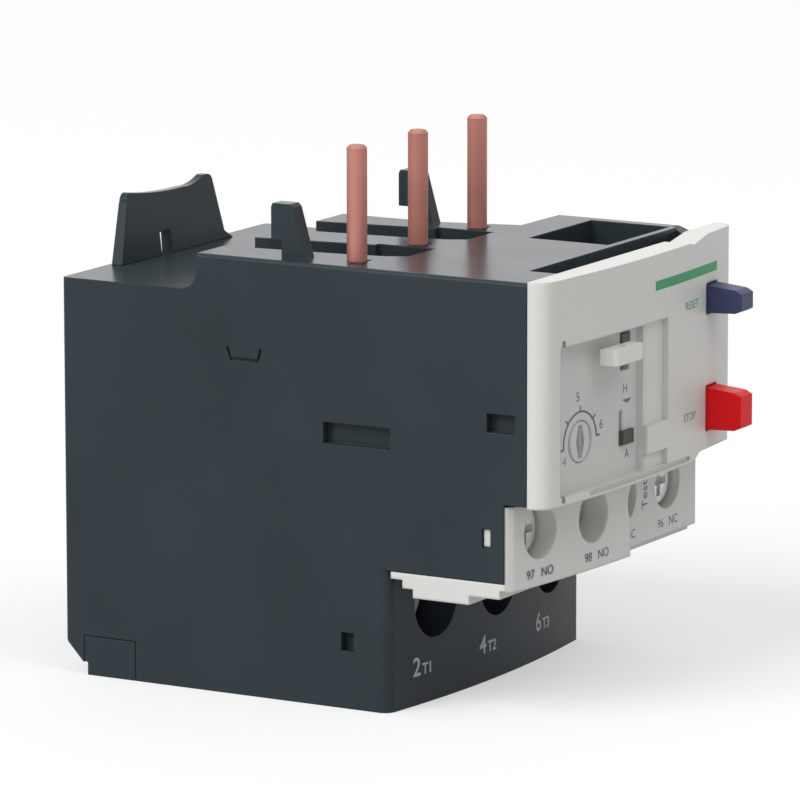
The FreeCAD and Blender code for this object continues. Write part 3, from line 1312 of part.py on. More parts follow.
def make_contacts():
    """The carrier with its two bridges, and the four fixed contact bars."""
    front = dims.carrier_front
    back = front - dims.carrier_thick
    low = dims.carrier_low
    lug_z = dims.lever_z + 1.1 + dims.gap
    carrier = join("contact_carrier_body", [
        box("carrier_beam", (dims.aux_first + 3.6, aux_x(3) - 2.4), (front, back), (low, low + 3.0)),
        box("carrier_lug", (dims.lever_x + dims.lever_arm - 1.2, dims.lever_x + dims.lever_arm + 1.0),
            (front, dims.front_room_station + 0.8), (lug_z, low + 0.5)),
        box("carrier_leg", (dims.leg_left, dims.leg_left + dims.leg_wide), (front, back),
            (dims.leg_low, low + 0.5)),
        box("carrier_left", about(no_middle(), 0.8), (dims.contact_plane + 2.1, back), (low, low + 2.4)),
        box("carrier_right", about(nc_middle(), 0.8), (dims.contact_plane + 2.9, back), (low - 1.9, low + 1.6)),
    ])
    deep = (dims.contact_plane + 1.1, dims.contact_plane - 1.9)
    wide = (deep[0] + dims.fit, deep[1] - dims.fit)
    no_low = low + 0.75
    nc_low = dims.nc_level + dims.fit
    thick = dims.bridge_thick
    keep(cut("contact_carrier", carrier, [
        box("carrier_left_slot", about(no_middle(), 1.0), wide, (no_low, no_low + thick)),
        box("carrier_right_slot", about(nc_middle(), 1.0), wide, (nc_low, nc_low + thick)),
    ]), "contact_carrier")
    keep(box("no_bridge", about(no_middle(), 3.6), deep, (no_low, no_low + thick)), "no_bridge")
    keep(box("nc_bridge", about(nc_middle(), 5.2), deep, (nc_low, nc_low + thick)), "nc_bridge")
    plane = (dims.contact_plane, dims.contact_plane - dims.contact_thick)
    shelf = (dims.contact_plane + 0.6, dims.contact_plane - 1.4)
    foot = dims.aux_axis - 2.0
    stop = no_low + thick + dims.contact_travel + dims.fit
    for n, name, tip in ((0, "contact_97", -2.5), (1, "contact_98", 2.5), (2, "contact_95", -4.0), (3, "contact_96", 4.0)):
        x = aux_x(n)
        closed = name in ("contact_95", "contact_96")
        middle = nc_middle() if closed else no_middle()
        rivet = middle + tip
        top = dims.nc_level - 0.7 if closed else stop + 1.5
        level = top if closed else stop + 0.7
        low_x = min(x - dims.contact_half, rivet - 1.1, key=number)
        high_x = max(x + dims.contact_half, rivet + 1.1, key=number)
        arm = (low_x, high_x)
        face = (level - 0.8, level) if closed else (level, level + 0.8)
        head = (dims.nc_level - 0.7, dims.nc_level) if closed else (stop, stop + 0.7)
        stem = (x - dims.contact_half, x + dims.contact_half)
        if not closed:
            outer = x - dims.contact_half if n == 0 else x + 0.6
            stem = (outer, outer + 1.6)
        pieces = [
            box(name + "_tongue", about(x, dims.contact_half), plane, (foot, dims.aux_top + 0.9)),
            box(name + "_stem", stem, plane, (dims.aux_top, face[1])),
            box(name + "_arm", arm, shelf, face),
            post(name + "_rivet", (rivet, dims.contact_plane - 0.4), head, 0.8),
        ]
        keep(join(name, pieces), name)


def nc_middle():
    return (aux_x(2) + aux_x(3)) / 2


def no_middle():
    return (aux_x(0) + aux_x(1)) / 2


# ---------------------------------------------------------------- whole relay

def main():
    fill_sheet()
    make_housing()
    make_bottom_cover()
    make_latch_plate()
    make_front_cover()
    make_clear_cover()
    make_sealing_lug()
    make_dial()
    make_mode_selector()
    make_test_slider()
    make_controls()
    make_aux_block()
    make_terminals()
    for pole in POLES:
        make_pole(pole)
    make_slides()
    make_trip_lever()
    make_contacts()
    doc.recompute()
    for thing in doc.Objects:
        if "Invalid" in thing.State or "Error" in thing.State:
            raise RuntimeError("%s did not build: %s" % (thing.Name, thing.State))
    for piece in made:
        shape = piece.Shape
        if shape.isNull() or not shape.isValid() or not shape.Solids:
            raise RuntimeError("%s has no sound solid" % piece.Label)
    os.makedirs("parts", exist_ok=True)
    for piece in made:
        piece.Shape.exportStep("parts/%s.step" % piece.Label)


main()
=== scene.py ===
import json
import math

import bpy
from mathutils import Matrix, Vector


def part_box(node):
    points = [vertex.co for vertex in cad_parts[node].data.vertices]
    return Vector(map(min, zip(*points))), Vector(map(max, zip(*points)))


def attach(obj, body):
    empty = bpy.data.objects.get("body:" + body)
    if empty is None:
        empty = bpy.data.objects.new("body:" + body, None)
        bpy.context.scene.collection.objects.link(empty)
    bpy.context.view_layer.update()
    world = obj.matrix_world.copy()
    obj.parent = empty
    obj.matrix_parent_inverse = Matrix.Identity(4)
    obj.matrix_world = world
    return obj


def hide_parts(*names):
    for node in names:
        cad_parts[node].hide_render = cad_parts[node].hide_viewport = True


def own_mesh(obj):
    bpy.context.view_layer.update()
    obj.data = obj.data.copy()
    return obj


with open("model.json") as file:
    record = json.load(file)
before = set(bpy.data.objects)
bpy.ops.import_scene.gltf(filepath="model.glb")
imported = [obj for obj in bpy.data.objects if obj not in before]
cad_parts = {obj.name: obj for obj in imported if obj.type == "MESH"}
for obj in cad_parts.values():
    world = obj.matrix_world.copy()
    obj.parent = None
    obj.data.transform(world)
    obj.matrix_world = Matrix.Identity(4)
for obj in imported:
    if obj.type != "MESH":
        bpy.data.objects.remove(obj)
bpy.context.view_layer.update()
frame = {"nodes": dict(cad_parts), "record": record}

bl_info = {
    "name": "Plug-in Overload Relay",
    "version": (1, 0, 0),
    "blender": (4, 5, 0),
    "location": "View3D > Sidebar > Relay",
    "description": "Dresses a plug-in thermal overload relay: finishes, markings, springs and stage",
    "category": "Object",
}

MM = 0.001


# ---------------------------------------------------------------- settings

def hex_colour(text):
    """An sRGB hex value as linear red, green, blue and full alpha."""
    parts = [int(text[i:i + 2], 16) / 255 for i in (0, 2, 4)]
    return tuple(p / 12.92 if p <= 0.04045 else ((p + 0.055) / 1.055) ** 2.4 for p in parts) + (1.0,)


def colour(name, description, value):
    """A colour setting, from an sRGB hex value."""
    return bpy.props.FloatVectorProperty(name=name, description=description, size=4, min=0, max=1,
                                         subtype="COLOR", default=hex_colour(value))


def length(name, description, millimetres):
    """A length setting, given in millimetres and kept in metres."""
    return bpy.props.FloatProperty(name=name, description=description, default=millimetres * MM,
                                   unit="LENGTH", min=0)


class RelayColours(bpy.types.PropertyGroup):
    case: colour("Case", "Dark glass-filled polyamide of the case", "30393e")
    cover: colour("Cover", "Light grey moulding of the cover and the auxiliary block", "d6d6d2")
    lug: colour("Sealing lug", "White moulding of the sealing lug", "dfdfda")
    pane: colour("Pane", "Tint of the clear polycarbonate pane", "a4a8a6")
    reset: colour("Reset button", "Blue of the reset button", "383d5f")
    stop: colour("Stop button", "Red of the stop button", "e6171f")
    slider: colour("Sliders", "Black of the small sliders", "101113")
    copper: colour("Pins", "Dull copper of the contact pins", "b67f74")
    ink_dark: colour("Dark ink", "Ink of the markings on light faces", "606165")
    ink_pale: colour("Pale ink", "Ink of the dial's pointer and the faint number", "8a8a87")
    ink_green: colour("Green ink", "Ink of the button words and the plain line", "3d9a66")
    ink_light: colour("Light ink", "Ink of the markings on the dark case", "b4babd")


class RelaySizes(bpy.types.PropertyGroup):
    ink_deep: length("Ink thickness", "How far the printed markings stand out", 0.02)
    ink_line: length("Line width", "Width of the printed arc and its ticks", 0.22)
    power_mark: length("Power marks", "Height of the large numbers on the foot", 2.2)
    phase_mark: length("Phase marks", "Height of the small letters on the foot", 1.3)
    aux_mark: length("Auxiliary marks", "Height of the numbers on the auxiliary block", 1.08)
    test_mark: length("Test word", "Height of the upright word on the auxiliary block", 1.35)
    word_mark: length("Button words", "Height of the words beside the buttons", 0.95)
    dial_mark: length("Dial numbers", "Height of the numbers around the dial", 1.1)
    arc_radius: length("Scale radius", "Radius of the arc around the dial", 3.4)
    wire: length("Spring wire", "Diameter of the springs' wire", 0.4)
    floor: length("Floor", "Half width of the floor", 6000)


def colours():
    """The scene's colour settings."""
    return bpy.context.scene.relay_colours


def sizes():
    """The scene's size settings."""
    return bpy.context.scene.relay_sizes


# ---------------------------------------------------------------- shading helpers

def add_node(tree, kind, links=None, **settings):
    """One node, with its settings, its input values and its incoming links."""
    node = tree.nodes.new(kind)
    for name, value in settings.items():
        if name.startswith("in_"):
            node.inputs[name[3:].replace("_", " ")].default_value = value
        else:
            setattr(node, name, value)
    for socket, source in (links or {}).items():
        tree.links.new(source, node.inputs[socket])
    return node


def new_material(name, base, roughness, metallic=0.0, specular=0.5):
    """A Principled material that is ready for its pattern."""
    material = bpy.data.materials.new(name)
    material.use_nodes = True
    tree = material.node_tree
    shader = tree.nodes["Principled BSDF"]
    shader.inputs["Base Color"].default_value = base
    shader.inputs["Roughness"].default_value = roughness
    shader.inputs["Metallic"].default_value = metallic
    shader.inputs["IOR"].default_value = 1.5
    shader.inputs["Specular IOR Level"].default_value = specular
    material.diffuse_color = base
    return material, tree, shader


def mottled(tree, base, scale, amount):
    """A colour that wanders a little about its base, in object space."""
    where = add_node(tree, "ShaderNodeTexCoord")
    noise = add_node(tree, "ShaderNodeTexNoise", {"Vector": where.outputs["Object"]},
                     in_Scale=scale, in_Detail=4.0)
    ramp = add_node(tree, "ShaderNodeValToRGB", {"Fac": noise.outputs["Fac"]})
    low = tuple(c * (1 - amount) for c in base[:3]) + (1,)
    high = tuple(min(1, c * (1 + amount)) for c in base[:3]) + (1,)
    ramp.color_ramp.elements[0].position = 0.35
    ramp.color_ramp.elements[0].color = low
    ramp.color_ramp.elements[1].position = 0.65
    ramp.color_ramp.elements[1].color = high
    return where, noise, ramp


def grain(tree, where, shader, per_metre, height, strength, edge=0.0):
    """Fine bumps in object space, per_metre along a metre and height metres high, on soft edges."""
    noise = add_node(tree, "ShaderNodeTexNoise", {"Vector": where.outputs["Object"]},
                     in_Scale=per_metre, in_Detail=3.0, in_Roughness=0.6)
    bump = add_node(tree, "ShaderNodeBump", {"Height": noise.outputs["Fac"]},
                    in_Strength=strength, in_Distance=height)
    if edge:
        soft = add_node(tree, "ShaderNodeBevel", samples=6, in_Radius=edge)
        tree.links.new(soft.outputs["Normal"], bump.inputs["Normal"])
    tree.links.new(bump.outputs["Normal"], shader.inputs["Normal"])


def spread_roughness(tree, noise, shader, low, high):
    """Let the roughness wander with a noise, between two values."""
    spread = add_node(tree, "ShaderNodeMapRange", {"Value": noise.outputs["Fac"]})
    spread.inputs["To Min"].default_value = low
    spread.inputs["To Max"].default_value = high
    tree.links.new(spread.outputs["Result"], shader.inputs["Roughness"])


def moulding(name, base, roughness, grit_mm, height_mm, mottle=0.03, specular=0.5, edge_mm=0.15):
    """A moulded plastic: an eroded tool surface of a given grit, a slightly uneven gloss, soft edges."""
    material, tree, shader = new_material(name, base, roughness, specular=specular)
    where, noise, ramp = mottled(tree, base, 60.0, mottle)
    tree.links.new(ramp.outputs["Color"], shader.inputs["Base Color"])
    spread_roughness(tree, noise, shader, roughness - 0.05, roughness + 0.05)
    grain(tree, where, shader, 1 / (grit_mm * MM), height_mm * MM, 0.25, edge_mm * MM)
    return material


def make_finishes():
    """Every finish of the relay, by name."""
    pick = colours()
    made = {}
    # Glass-filled polyamide from an eroded tool: dull and dark, paler where the eye grazes it,
    # with a faint speckle from the fibres.
    made["glass_filled_polyamide"] = moulding("glass_filled_polyamide", tuple(pick.case), 0.25,
                                              0.22, 0.005, mottle=0.06, specular=0.12, edge_mm=0.2)
    # Light polycarbonate blend from a fine tool: satin, almost even.
    made["satin_polycarbonate_blend"] = moulding("satin_polycarbonate_blend", tuple(pick.cover), 0.42,
                                                 0.25, 0.005, mottle=0.012, specular=0.3, edge_mm=0.4)
    # Unfilled polyamide, moulded: small parts with a soft, slightly waxy gloss.
    made["white_polyamide"] = moulding("white_polyamide", tuple(pick.lug), 0.38,
                                       0.3, 0.004, mottle=0.01, specular=0.4)
    made["blue_polyamide"] = moulding("blue_polyamide", tuple(pick.reset), 0.45,
                                      0.25, 0.006, mottle=0.04, specular=0.3)
    made["red_polyamide"] = moulding("red_polyamide", tuple(pick.stop), 0.42,
                                     0.3, 0.005, mottle=0.03, specular=0.15)
    made["natural_polyamide"] = moulding("natural_polyamide", hex_colour("dcd6c2"), 0.45,
                                         0.25, 0.006, mottle=0.02)
    # Acetal slider: black, a little slippery in its shine.
    made["black_acetal"] = moulding("black_acetal", tuple(pick.slider), 0.40,
                                    0.25, 0.005, mottle=0.05, specular=0.3)
    made["clear_polycarbonate"] = clear_plastic()
    # Metals: dull drawn pins and plated screws, brighter stampings and wire, a mottled ribbon.
    made["drawn_copper"] = drawn_metal("drawn_copper", tuple(pick.copper), 0.58, 0.05)
    made["stamped_copper"] = drawn_metal("stamped_copper", hex_colour("c8805f"), 0.33, 0.07)
    made["resistance_ribbon"] = drawn_metal("resistance_ribbon", hex_colour("8f857a"), 0.42, 0.10)
    made["rolled_bimetal"] = drawn_metal("rolled_bimetal", hex_colour("b3aea4"), 0.34, 0.05)
    made["zinc_plated_steel"] = drawn_metal("zinc_plated_steel", hex_colour("dededc"), 0.58, 0.06)
    made["spring_wire"] = drawn_metal("spring_wire", hex_colour("9a9b9b"), 0.28, 0.05)
    made["stamped_brass"] = drawn_metal("stamped_brass", hex_colour("cfae66"), 0.32, 0.06)
    # Pad printing: a thin matt film of ink with slightly uneven cover.
    for ink, shade in (("dark_pad_ink", pick.ink_dark), ("pale_pad_ink", pick.ink_pale),
                       ("green_pad_ink", pick.ink_green), ("light_pad_ink", pick.ink_light)):
        made[ink] = moulding(ink, tuple(shade), 0.5, 0.2, 0.002, mottle=0.06, specular=0.3, edge_mm=0.0)
    return made


def clear_plastic():
    """Clear polycarbonate: nearly unseen from the front, with a faint shine."""
    tint = tuple(colours().pane)
    material, tree, shader = new_material("clear_polycarbonate", tint, 0.10)
    shader.inputs["Alpha"].default_value = 0.05
    where, noise, ramp = mottled(tree, tint, 40.0, 0.01)
    tree.links.new(ramp.outputs["Color"], shader.inputs["Base Color"])
    spread_roughness(tree, noise, shader, 0.08, 0.14)
    return material


def drawn_metal(name, base, roughness, mottle):
    """Drawn or rolled metal: fine lines along the height and a little tarnish."""
    material, tree, shader = new_material(name, base, roughness, metallic=1.0)
    where, noise, ramp = mottled(tree, base, 220.0, mottle)
    tree.links.new(ramp.outputs["Color"], shader.inputs["Base Color"])
    spread_roughness(tree, noise, shader, roughness - 0.06, roughness + 0.08)
    turned = add_node(tree, "ShaderNodeMapping", {"Vector": where.outputs["Object"]})
    turned.inputs["Scale"].default_value = (1, 1, 0.06)
    lines = add_node(tree, "ShaderNodeTexNoise", {"Vector": turned.outputs["Vector"]},
                     in_Scale=9000.0, in_Detail=2.0)
    bump = add_node(tree, "ShaderNodeBump", {"Height": lines.outputs["Fac"]},
                    in_Strength=0.25, in_Distance=0.000004)
    tree.links.new(bump.outputs["Normal"], shader.inputs["Normal"])
    return material


FINISH_OF_SLOT = {
    "case_dark": "glass_filled_polyamide",
    "cover_light": "satin_polycarbonate_blend",
    "pane_clear": "clear_polycarbonate",
    "lug_white": "white_polyamide",
    "dial_light": "satin_polycarbonate_blend",
    "slider_black": "black_acetal",
    "button_blue": "blue_polyamide",
    "button_red": "red_polyamide",
    "pin_copper": "drawn_copper",
    "bar_copper": "stamped_copper",
    "heater_alloy": "resistance_ribbon",
    "bimetal_steel": "rolled_bimetal",
    "zinc_steel": "zinc_plated_steel",
    "spring_steel": "spring_wire",
    "contact_brass": "stamped_brass",
    "mechanism_plastic": "natural_polyamide",
}
finishes = {}


# ---------------------------------------------------------------- modelling helpers

def start_clean():
    """Leave edit mode and select nothing."""
    if bpy.context.object and bpy.context.object.mode != "OBJECT":
        bpy.ops.object.mode_set(mode="OBJECT")
    bpy.ops.object.select_all(action="DESELECT")


def make_only(thing):
    """Select one object and make it active."""
    start_clean()
    thing.select_set(True)
    bpy.context.view_layer.objects.active = thing


def settle(thing, name, finish, body):
    """Put a finished piece's place in its mesh, give it its finish and let it ride."""
    make_only(thing)
    bpy.ops.object.transform_apply(location=True, rotation=True, scale=True)
    thing.name = name
    thing.data.name = name
    thing.data.materials.clear()
    thing.data.materials.append(finishes[finish])
    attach(thing, body)
    return thing


def stand_up(thing, place, turn=0.0, lean=0.0):
    """Turn a flat shape that lies in XY to face the front, then turn and place it."""
    thing.matrix_world = (Matrix.Translation(Vector(place)) @ Matrix.Rotation(turn, 4, "Z")
                          @ Matrix.Rotation(math.radians(90), 4, "X") @ Matrix.Rotation(lean, 4, "Z"))


def print_text(name, words, height, place, finish, body, turn=0.0, lean=0.0, bold=0.0):
    """Flat printed letters; height is that of a capital, place is the middle of the line's foot."""
    start_clean()
    bpy.ops.object.text_add(location=(0, 0, 0))
    letters = bpy.context.object
    letters.data.body = words
    letters.data.align_x = "CENTER"
    letters.data.size = height / CAPITAL
    letters.data.extrude = sizes().ink_deep / 2
    letters.data.resolution_u = 4
    letters.data.offset = bold
    make_only(letters)
    bpy.ops.object.convert(target="MESH")
    letters = bpy.context.object
    stand_up(letters, place, turn, lean)
    return settle(letters, name, finish, body)


def print_shape(name, corners, wide, high, place, finish, body, turn=0.0, lean=0.0):
    """A flat printed shape with a few corners, wide by high."""
    start_clean()
    bpy.ops.mesh.primitive_circle_add(vertices=corners, radius=0.5, fill_type="NGON")
    shape = bpy.context.object
    make_only(shape)
    bpy.ops.object.mode_set(mode="EDIT")
    bpy.ops.mesh.select_all(action="SELECT")
    if corners == 4:
        bpy.ops.transform.rotate(value=math.radians(45), orient_axis="Z", center_override=(0, 0, 0))
        wide, high = wide * math.sqrt(2), high * math.sqrt(2)
    bpy.ops.transform.resize(value=(wide, high, 1), center_override=(0, 0, 0))
    bpy.ops.mesh.extrude_region_move(TRANSFORM_OT_translate={"value": (0, 0, sizes().ink_deep / 2)})
    bpy.ops.mesh.select_all(action="SELECT")
    bpy.ops.mesh.normals_make_consistent(inside=False)
    bpy.ops.object.mode_set(mode="OBJECT")
    stand_up(shape, place, turn, lean)
    return settle(shape, name, finish, body)


def print_sweep(name, frame_matrix, wide, thick, centre, axis, angle, steps, finish, body):
    """A printed line: a thin section spun about an axis, so that it follows a round."""
    start_clean()
    bpy.ops.mesh.primitive_plane_add(size=1.0)
    line = bpy.context.object
    line.matrix_world = frame_matrix @ Matrix.Diagonal((wide, thick, 1, 1))
    make_only(line)
    bpy.ops.object.transform_apply(location=True, rotation=True, scale=True)
    bpy.ops.object.mode_set(mode="EDIT")
    bpy.ops.mesh.select_all(action="SELECT")
    bpy.ops.mesh.spin(steps=steps, angle=angle, center=centre, axis=axis)
    bpy.ops.mesh.select_all(action="SELECT")
    bpy.ops.mesh.normals_make_consistent(inside=False)
    bpy.ops.object.mode_set(mode="OBJECT")
    return settle(line, name, finish, body)


# Places on the faces, in metres. Those that a node's box shows come from it, and the others repeat
# the construction's own sizes.
CAPITAL = 0.72                                 # height of a capital over the size of the letters
COVER_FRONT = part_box("front_cover")[0].y
HALF_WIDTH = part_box("front_cover")[1].x
COVER_BOW = 1.3 * MM
COVER_RADIUS = (HALF_WIDTH ** 2 + COVER_BOW ** 2) / (2 * COVER_BOW)
RECESS = 1.35 * MM
DIAL_LOW, DIAL_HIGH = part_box("adjustment_dial")
DIAL_X = (DIAL_LOW.x + DIAL_HIGH.x) / 2
DIAL_Z = 31.5 * MM
FOOT_FRONT = -10.5 * MM
FOOT_BOW = 1.4 * MM
FOOT_HALF = 21.1 * MM                          # half width of the foot's bowed front
FOOT_RADIUS = (FOOT_HALF ** 2 + FOOT_BOW ** 2) / (2 * FOOT_BOW)
AUX_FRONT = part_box("aux_block")[0].y
AUX_MIDDLE = 5.0 * MM
AUX_RADIUS = 190.0 * MM
AUX_RIGHT_FRONT = -24.2 * MM
INK_STAND = 0.004 * MM                         # how far a mark's own plane stands off its face


def bowed(x, front, radius, middle=0.0):
    """Y and turn of a mark at an X on a bowed front."""
    return front + (x - middle) ** 2 / (2 * radius) - INK_STAND, (x - middle) / radius


# ---------------------------------------------------------------- operators

class RELAY_OT_finishes(bpy.types.Operator):
    """Give every carried-over node the finish of its slot"""
    bl_idname = "relay.finishes"
    bl_label = "Finishes"

    def execute(self, context):
        finishes.update(make_finishes())
        slots = {row["node"]: row["material_slot"] for row in frame["record"]["subparts"]}
        for node, thing in frame["nodes"].items():
            material = finishes[FINISH_OF_SLOT[slots[node]]]
            thing.data.materials.clear()
            thing.data.materials.append(material)
        return {"FINISHED"}


class RELAY_OT_cover_marks(bpy.types.Operator):
    """Print the button words and the plain line on the front cover"""
    bl_idname = "relay.cover_marks"
    bl_label = "Cover marks"

    def execute(self, context):
        # Name, word, X and Z in millimetres.
        for name, words, x, z in (("word_reset", "RESET", 10.3, 43.1), ("word_stop", "STOP", 9.9, 30.2)):
            y, turn = bowed(x * MM, COVER_FRONT, COVER_RADIUS)
            print_text(name, words, sizes().word_mark, (x * MM, y, z * MM), "green_pad_ink",
                       "case", turn)
        line_left, line_right, line_low, line_high = 0.9 * MM, 17.4 * MM, 46.5 * MM, 47.6 * MM
        start = line_left / COVER_RADIUS
        centre = Vector((0, COVER_FRONT + COVER_RADIUS, 0))
        middle = centre + Vector((math.sin(start), -math.cos(start), 0)) * COVER_RADIUS
        middle.z = (line_low + line_high) / 2
        # The section's long side stands up, its short side points through the cover's face.
        section = (Matrix.Translation(middle) @ Matrix.Rotation(start, 4, "Z")
                   @ Matrix.Rotation(math.radians(90), 4, "Y"))
        print_sweep("line_green", section, line_high - line_low, sizes().ink_deep, centre, (0, 0, 1),
                    (line_left - line_right) / COVER_RADIUS, 16, "green_pad_ink", "case")
        return {"FINISHED"}


class RELAY_OT_dial_marks(bpy.types.Operator):
    """Print the scale around the dial, its numbers, its pointer and the marks beside the selector"""
    bl_idname = "relay.dial_marks"
    bl_label = "Dial marks"

    def execute(self, context):
        front = COVER_FRONT + RECESS
        face, turn = bowed(DIAL_X, front, COVER_RADIUS)
        # The plane that touches the bowed floor of the recess behind the dial, sunk a little, so
        # that the arc's thick section stays in the floor at both ends.
        plane = Matrix.Translation((DIAL_X, face + INK_STAND * 5, DIAL_Z)) @ Matrix.Rotation(turn, 4, "Z")

        def section_at(degrees, reach):
            """A section of a line in that plane, at an angle and a distance from the dial's middle."""
            return (plane @ Matrix.Rotation(-math.radians(degrees), 4, "Y")
                    @ Matrix.Translation((reach, 0, 0)))

        first, last = 187, 3                   # ends of the scale, in degrees up from the right
        tick_long, tick_out = 0.7 * MM, 0.35 * MM
        print_sweep("scale_arc", section_at(first, sizes().arc_radius), sizes().ink_line,
                    4 * sizes().ink_deep, plane.to_translation(), plane.to_3x3() @ Vector((0, 1, 0)),
                    math.radians(last - first), 40, "dark_pad_ink", "case")
        for index, degrees in enumerate((first, 137, 90, 40, last)):
            place = section_at(degrees, sizes().arc_radius + tick_out).to_translation()
            print_shape("scale_tick_%d" % (index + 1), 4, tick_long, sizes().ink_line,
                        place - Vector((0, 1.5 * sizes().ink_deep, 0)), "dark_pad_ink",
                        "case", turn, math.radians(degrees))
        # Name, letter, X and Z in millimetres, ink.
        marks = (("number_low", "4", -16.7, 29.2, "pale_pad_ink"),
                 ("number_middle", "5", -14.0, 36.1, "dark_pad_ink"),
                 ("number_high", "6", -9.1, 32.3, "dark_pad_ink"),
                 ("mark_hand", "H", -3.75, 35.5, "dark_pad_ink"),
                 ("mark_auto", "A", -3.3, 28.0, "dark_pad_ink"))
        for name, words, x, z, finish in marks:
            y, turn = bowed(x * MM, front, COVER_RADIUS)
            print_text(name, words, sizes().dial_mark, (x * MM, y, z * MM), finish,
                       "case", turn)
        # A low wedge under the H, standing on its tip.
        wedge_x, wedge_z, wedge_wide, wedge_high = -3.3 * MM, 34.6 * MM, 2.5 * MM, 0.7 * MM
        y, turn = bowed(wedge_x, front, COVER_RADIUS)
        print_shape("selector_wedge", 3, wedge_wide, wedge_high, (wedge_x, y, wedge_z), "dark_pad_ink",
                    "case", turn, math.radians(180))
        # Two low wedges, foot to foot with the dial's slot between them.
        pointer_wide, pointer_high, pointer_off = 4.3 * MM, 0.8 * MM, 0.56 * MM
        for name, side in (("pointer_left", -1), ("pointer_right", 1)):
            print_shape(name, 3, pointer_wide, pointer_high,
                        (DIAL_X + side * pointer_off, DIAL_LOW.y - INK_STAND, DIAL_Z),
                        "pale_pad_ink", "dial", 0.0, side * math.radians(-90))
        return {"FINISHED"}


class RELAY_OT_terminal_marks(bpy.types.Operator):
    """Print the terminal marks on the foot and the auxiliary block, and the upright word there"""
    bl_idname = "relay.terminal_marks"
    bl_label = "Terminal marks"

    def execute(self, context):
        foot_line, aux_line = 3.4 * MM, 16.4 * MM
        pole_left, pole_pitch, small_gap = -17.2 * MM, 13.7 * MM, 2.05 * MM
        bold = 0.035 * MM
        for index in range(3):
            x = pole_left + pole_pitch * index
            for name, words, tall, at in (("power", str(2 * index + 2), sizes().power_mark, x),
                                          ("phase", "T%d" % (index + 1), sizes().phase_mark, x + small_gap)):
                y, turn = bowed(at, FOOT_FRONT, FOOT_RADIUS)
                print_text("mark_%s_%d" % (name, index + 1), words, tall, (at, y, foot_line),
                           "light_pad_ink", "case", turn, bold=bold)
        # Words and X in millimetres. The block's front is bowed on the left and flat on the right.
        for words, x in (("97   NO", -16.7), ("98   NO", -5.2), ("95   NC", 5.2), ("96   NC", 15.6)):
            x *= MM
            y, turn = AUX_RIGHT_FRONT - INK_STAND, 0.0
            if x < AUX_MIDDLE:
                y, turn = bowed(x, AUX_FRONT, AUX_RADIUS, AUX_MIDDLE)
            print_text("mark_aux_" + words[:2], words, sizes().aux_mark, (x, y, aux_line),
                       "dark_pad_ink", "case", turn)
        test_x, test_z = 10.5 * MM, 21.0 * MM
        print_text("word_test", "Test", sizes().test_mark,
                   (test_x, AUX_RIGHT_FRONT - INK_STAND, test_z), "dark_pad_ink",
                   "case", 0.0, math.radians(90))
        return {"FINISHED"}


class RELAY_OT_springs(bpy.types.Operator):
    """Wind the two button springs in place of their sleeves"""
    bl_idname = "relay.springs"
    bl_label = "Springs"

    def execute(self, context):
        wire = sizes().wire
        for node, turns, joint in (("reset_spring", 13, "reset_press"), ("stop_spring", 6, "stop_press")):
            low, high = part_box(node)
            middle = (low + high) / 2
            long = high.y - low.y
            radius = (high.x - low.x) / 2 - wire / 2
            start_clean()
            bpy.ops.mesh.primitive_circle_add(vertices=10, radius=wire / 2, location=(radius, 0, 0),
                                              rotation=(math.radians(90), 0, 0))
            coil = bpy.context.object
            make_only(coil)
            bpy.ops.object.transform_apply(location=True, rotation=True)
            screw = coil.modifiers.new("winding", "SCREW")
            screw.angle = 2 * math.pi * turns
            screw.screw_offset = long - wire
            screw.steps = 24 * turns
            screw.render_steps = 24 * turns
            screw.axis = "Z"
            bpy.ops.object.modifier_apply(modifier="winding")
            bpy.ops.object.mode_set(mode="EDIT")
            bpy.ops.mesh.select_all(action="SELECT")
            bpy.ops.mesh.remove_doubles(threshold=1e-7)
            bpy.ops.mesh.select_non_manifold()
            bpy.ops.mesh.fill_holes(sides=0)
            bpy.ops.mesh.select_all(action="SELECT")
            bpy.ops.mesh.normals_make_consistent(inside=False)
            bpy.ops.object.mode_set(mode="OBJECT")
            bpy.ops.object.shade_smooth()
            coil.matrix_world = (Matrix.Translation((middle.x, high.y - wire / 2, middle.z))
                                 @ Matrix.Rotation(math.radians(90), 4, "X"))
            settle(coil, node + "_coil", "spring_wire", "case")
            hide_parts(node)
            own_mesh(coil)
        return {"FINISHED"}


class RELAY_OT_stage(bpy.types.Operator):
    """Set the floor, the lamps, the world and the camera"""
    bl_idname = "relay.stage"
    bl_label = "Stage"

    def execute(self, context):
        make_floor()
        make_lamps()
        make_world()
        make_camera()
        context.scene.view_settings.view_transform = "Standard"
        return {"FINISHED"}


def seen_outright(tree):
    """1 on a ray from the camera, off gloss or through clear plastic, and 0 on the others."""
    path = add_node(tree, "ShaderNodeLightPath")
    either = add_node(tree, "ShaderNodeMath", {0: path.outputs["Is Camera Ray"],
                                               1: path.outputs["Is Glossy Ray"]}, operation="MAXIMUM")
    return add_node(tree, "ShaderNodeMath", {0: either.outputs[0],
                                             1: path.outputs["Is Transmission Ray"]},
                    operation="MAXIMUM").outputs[0]


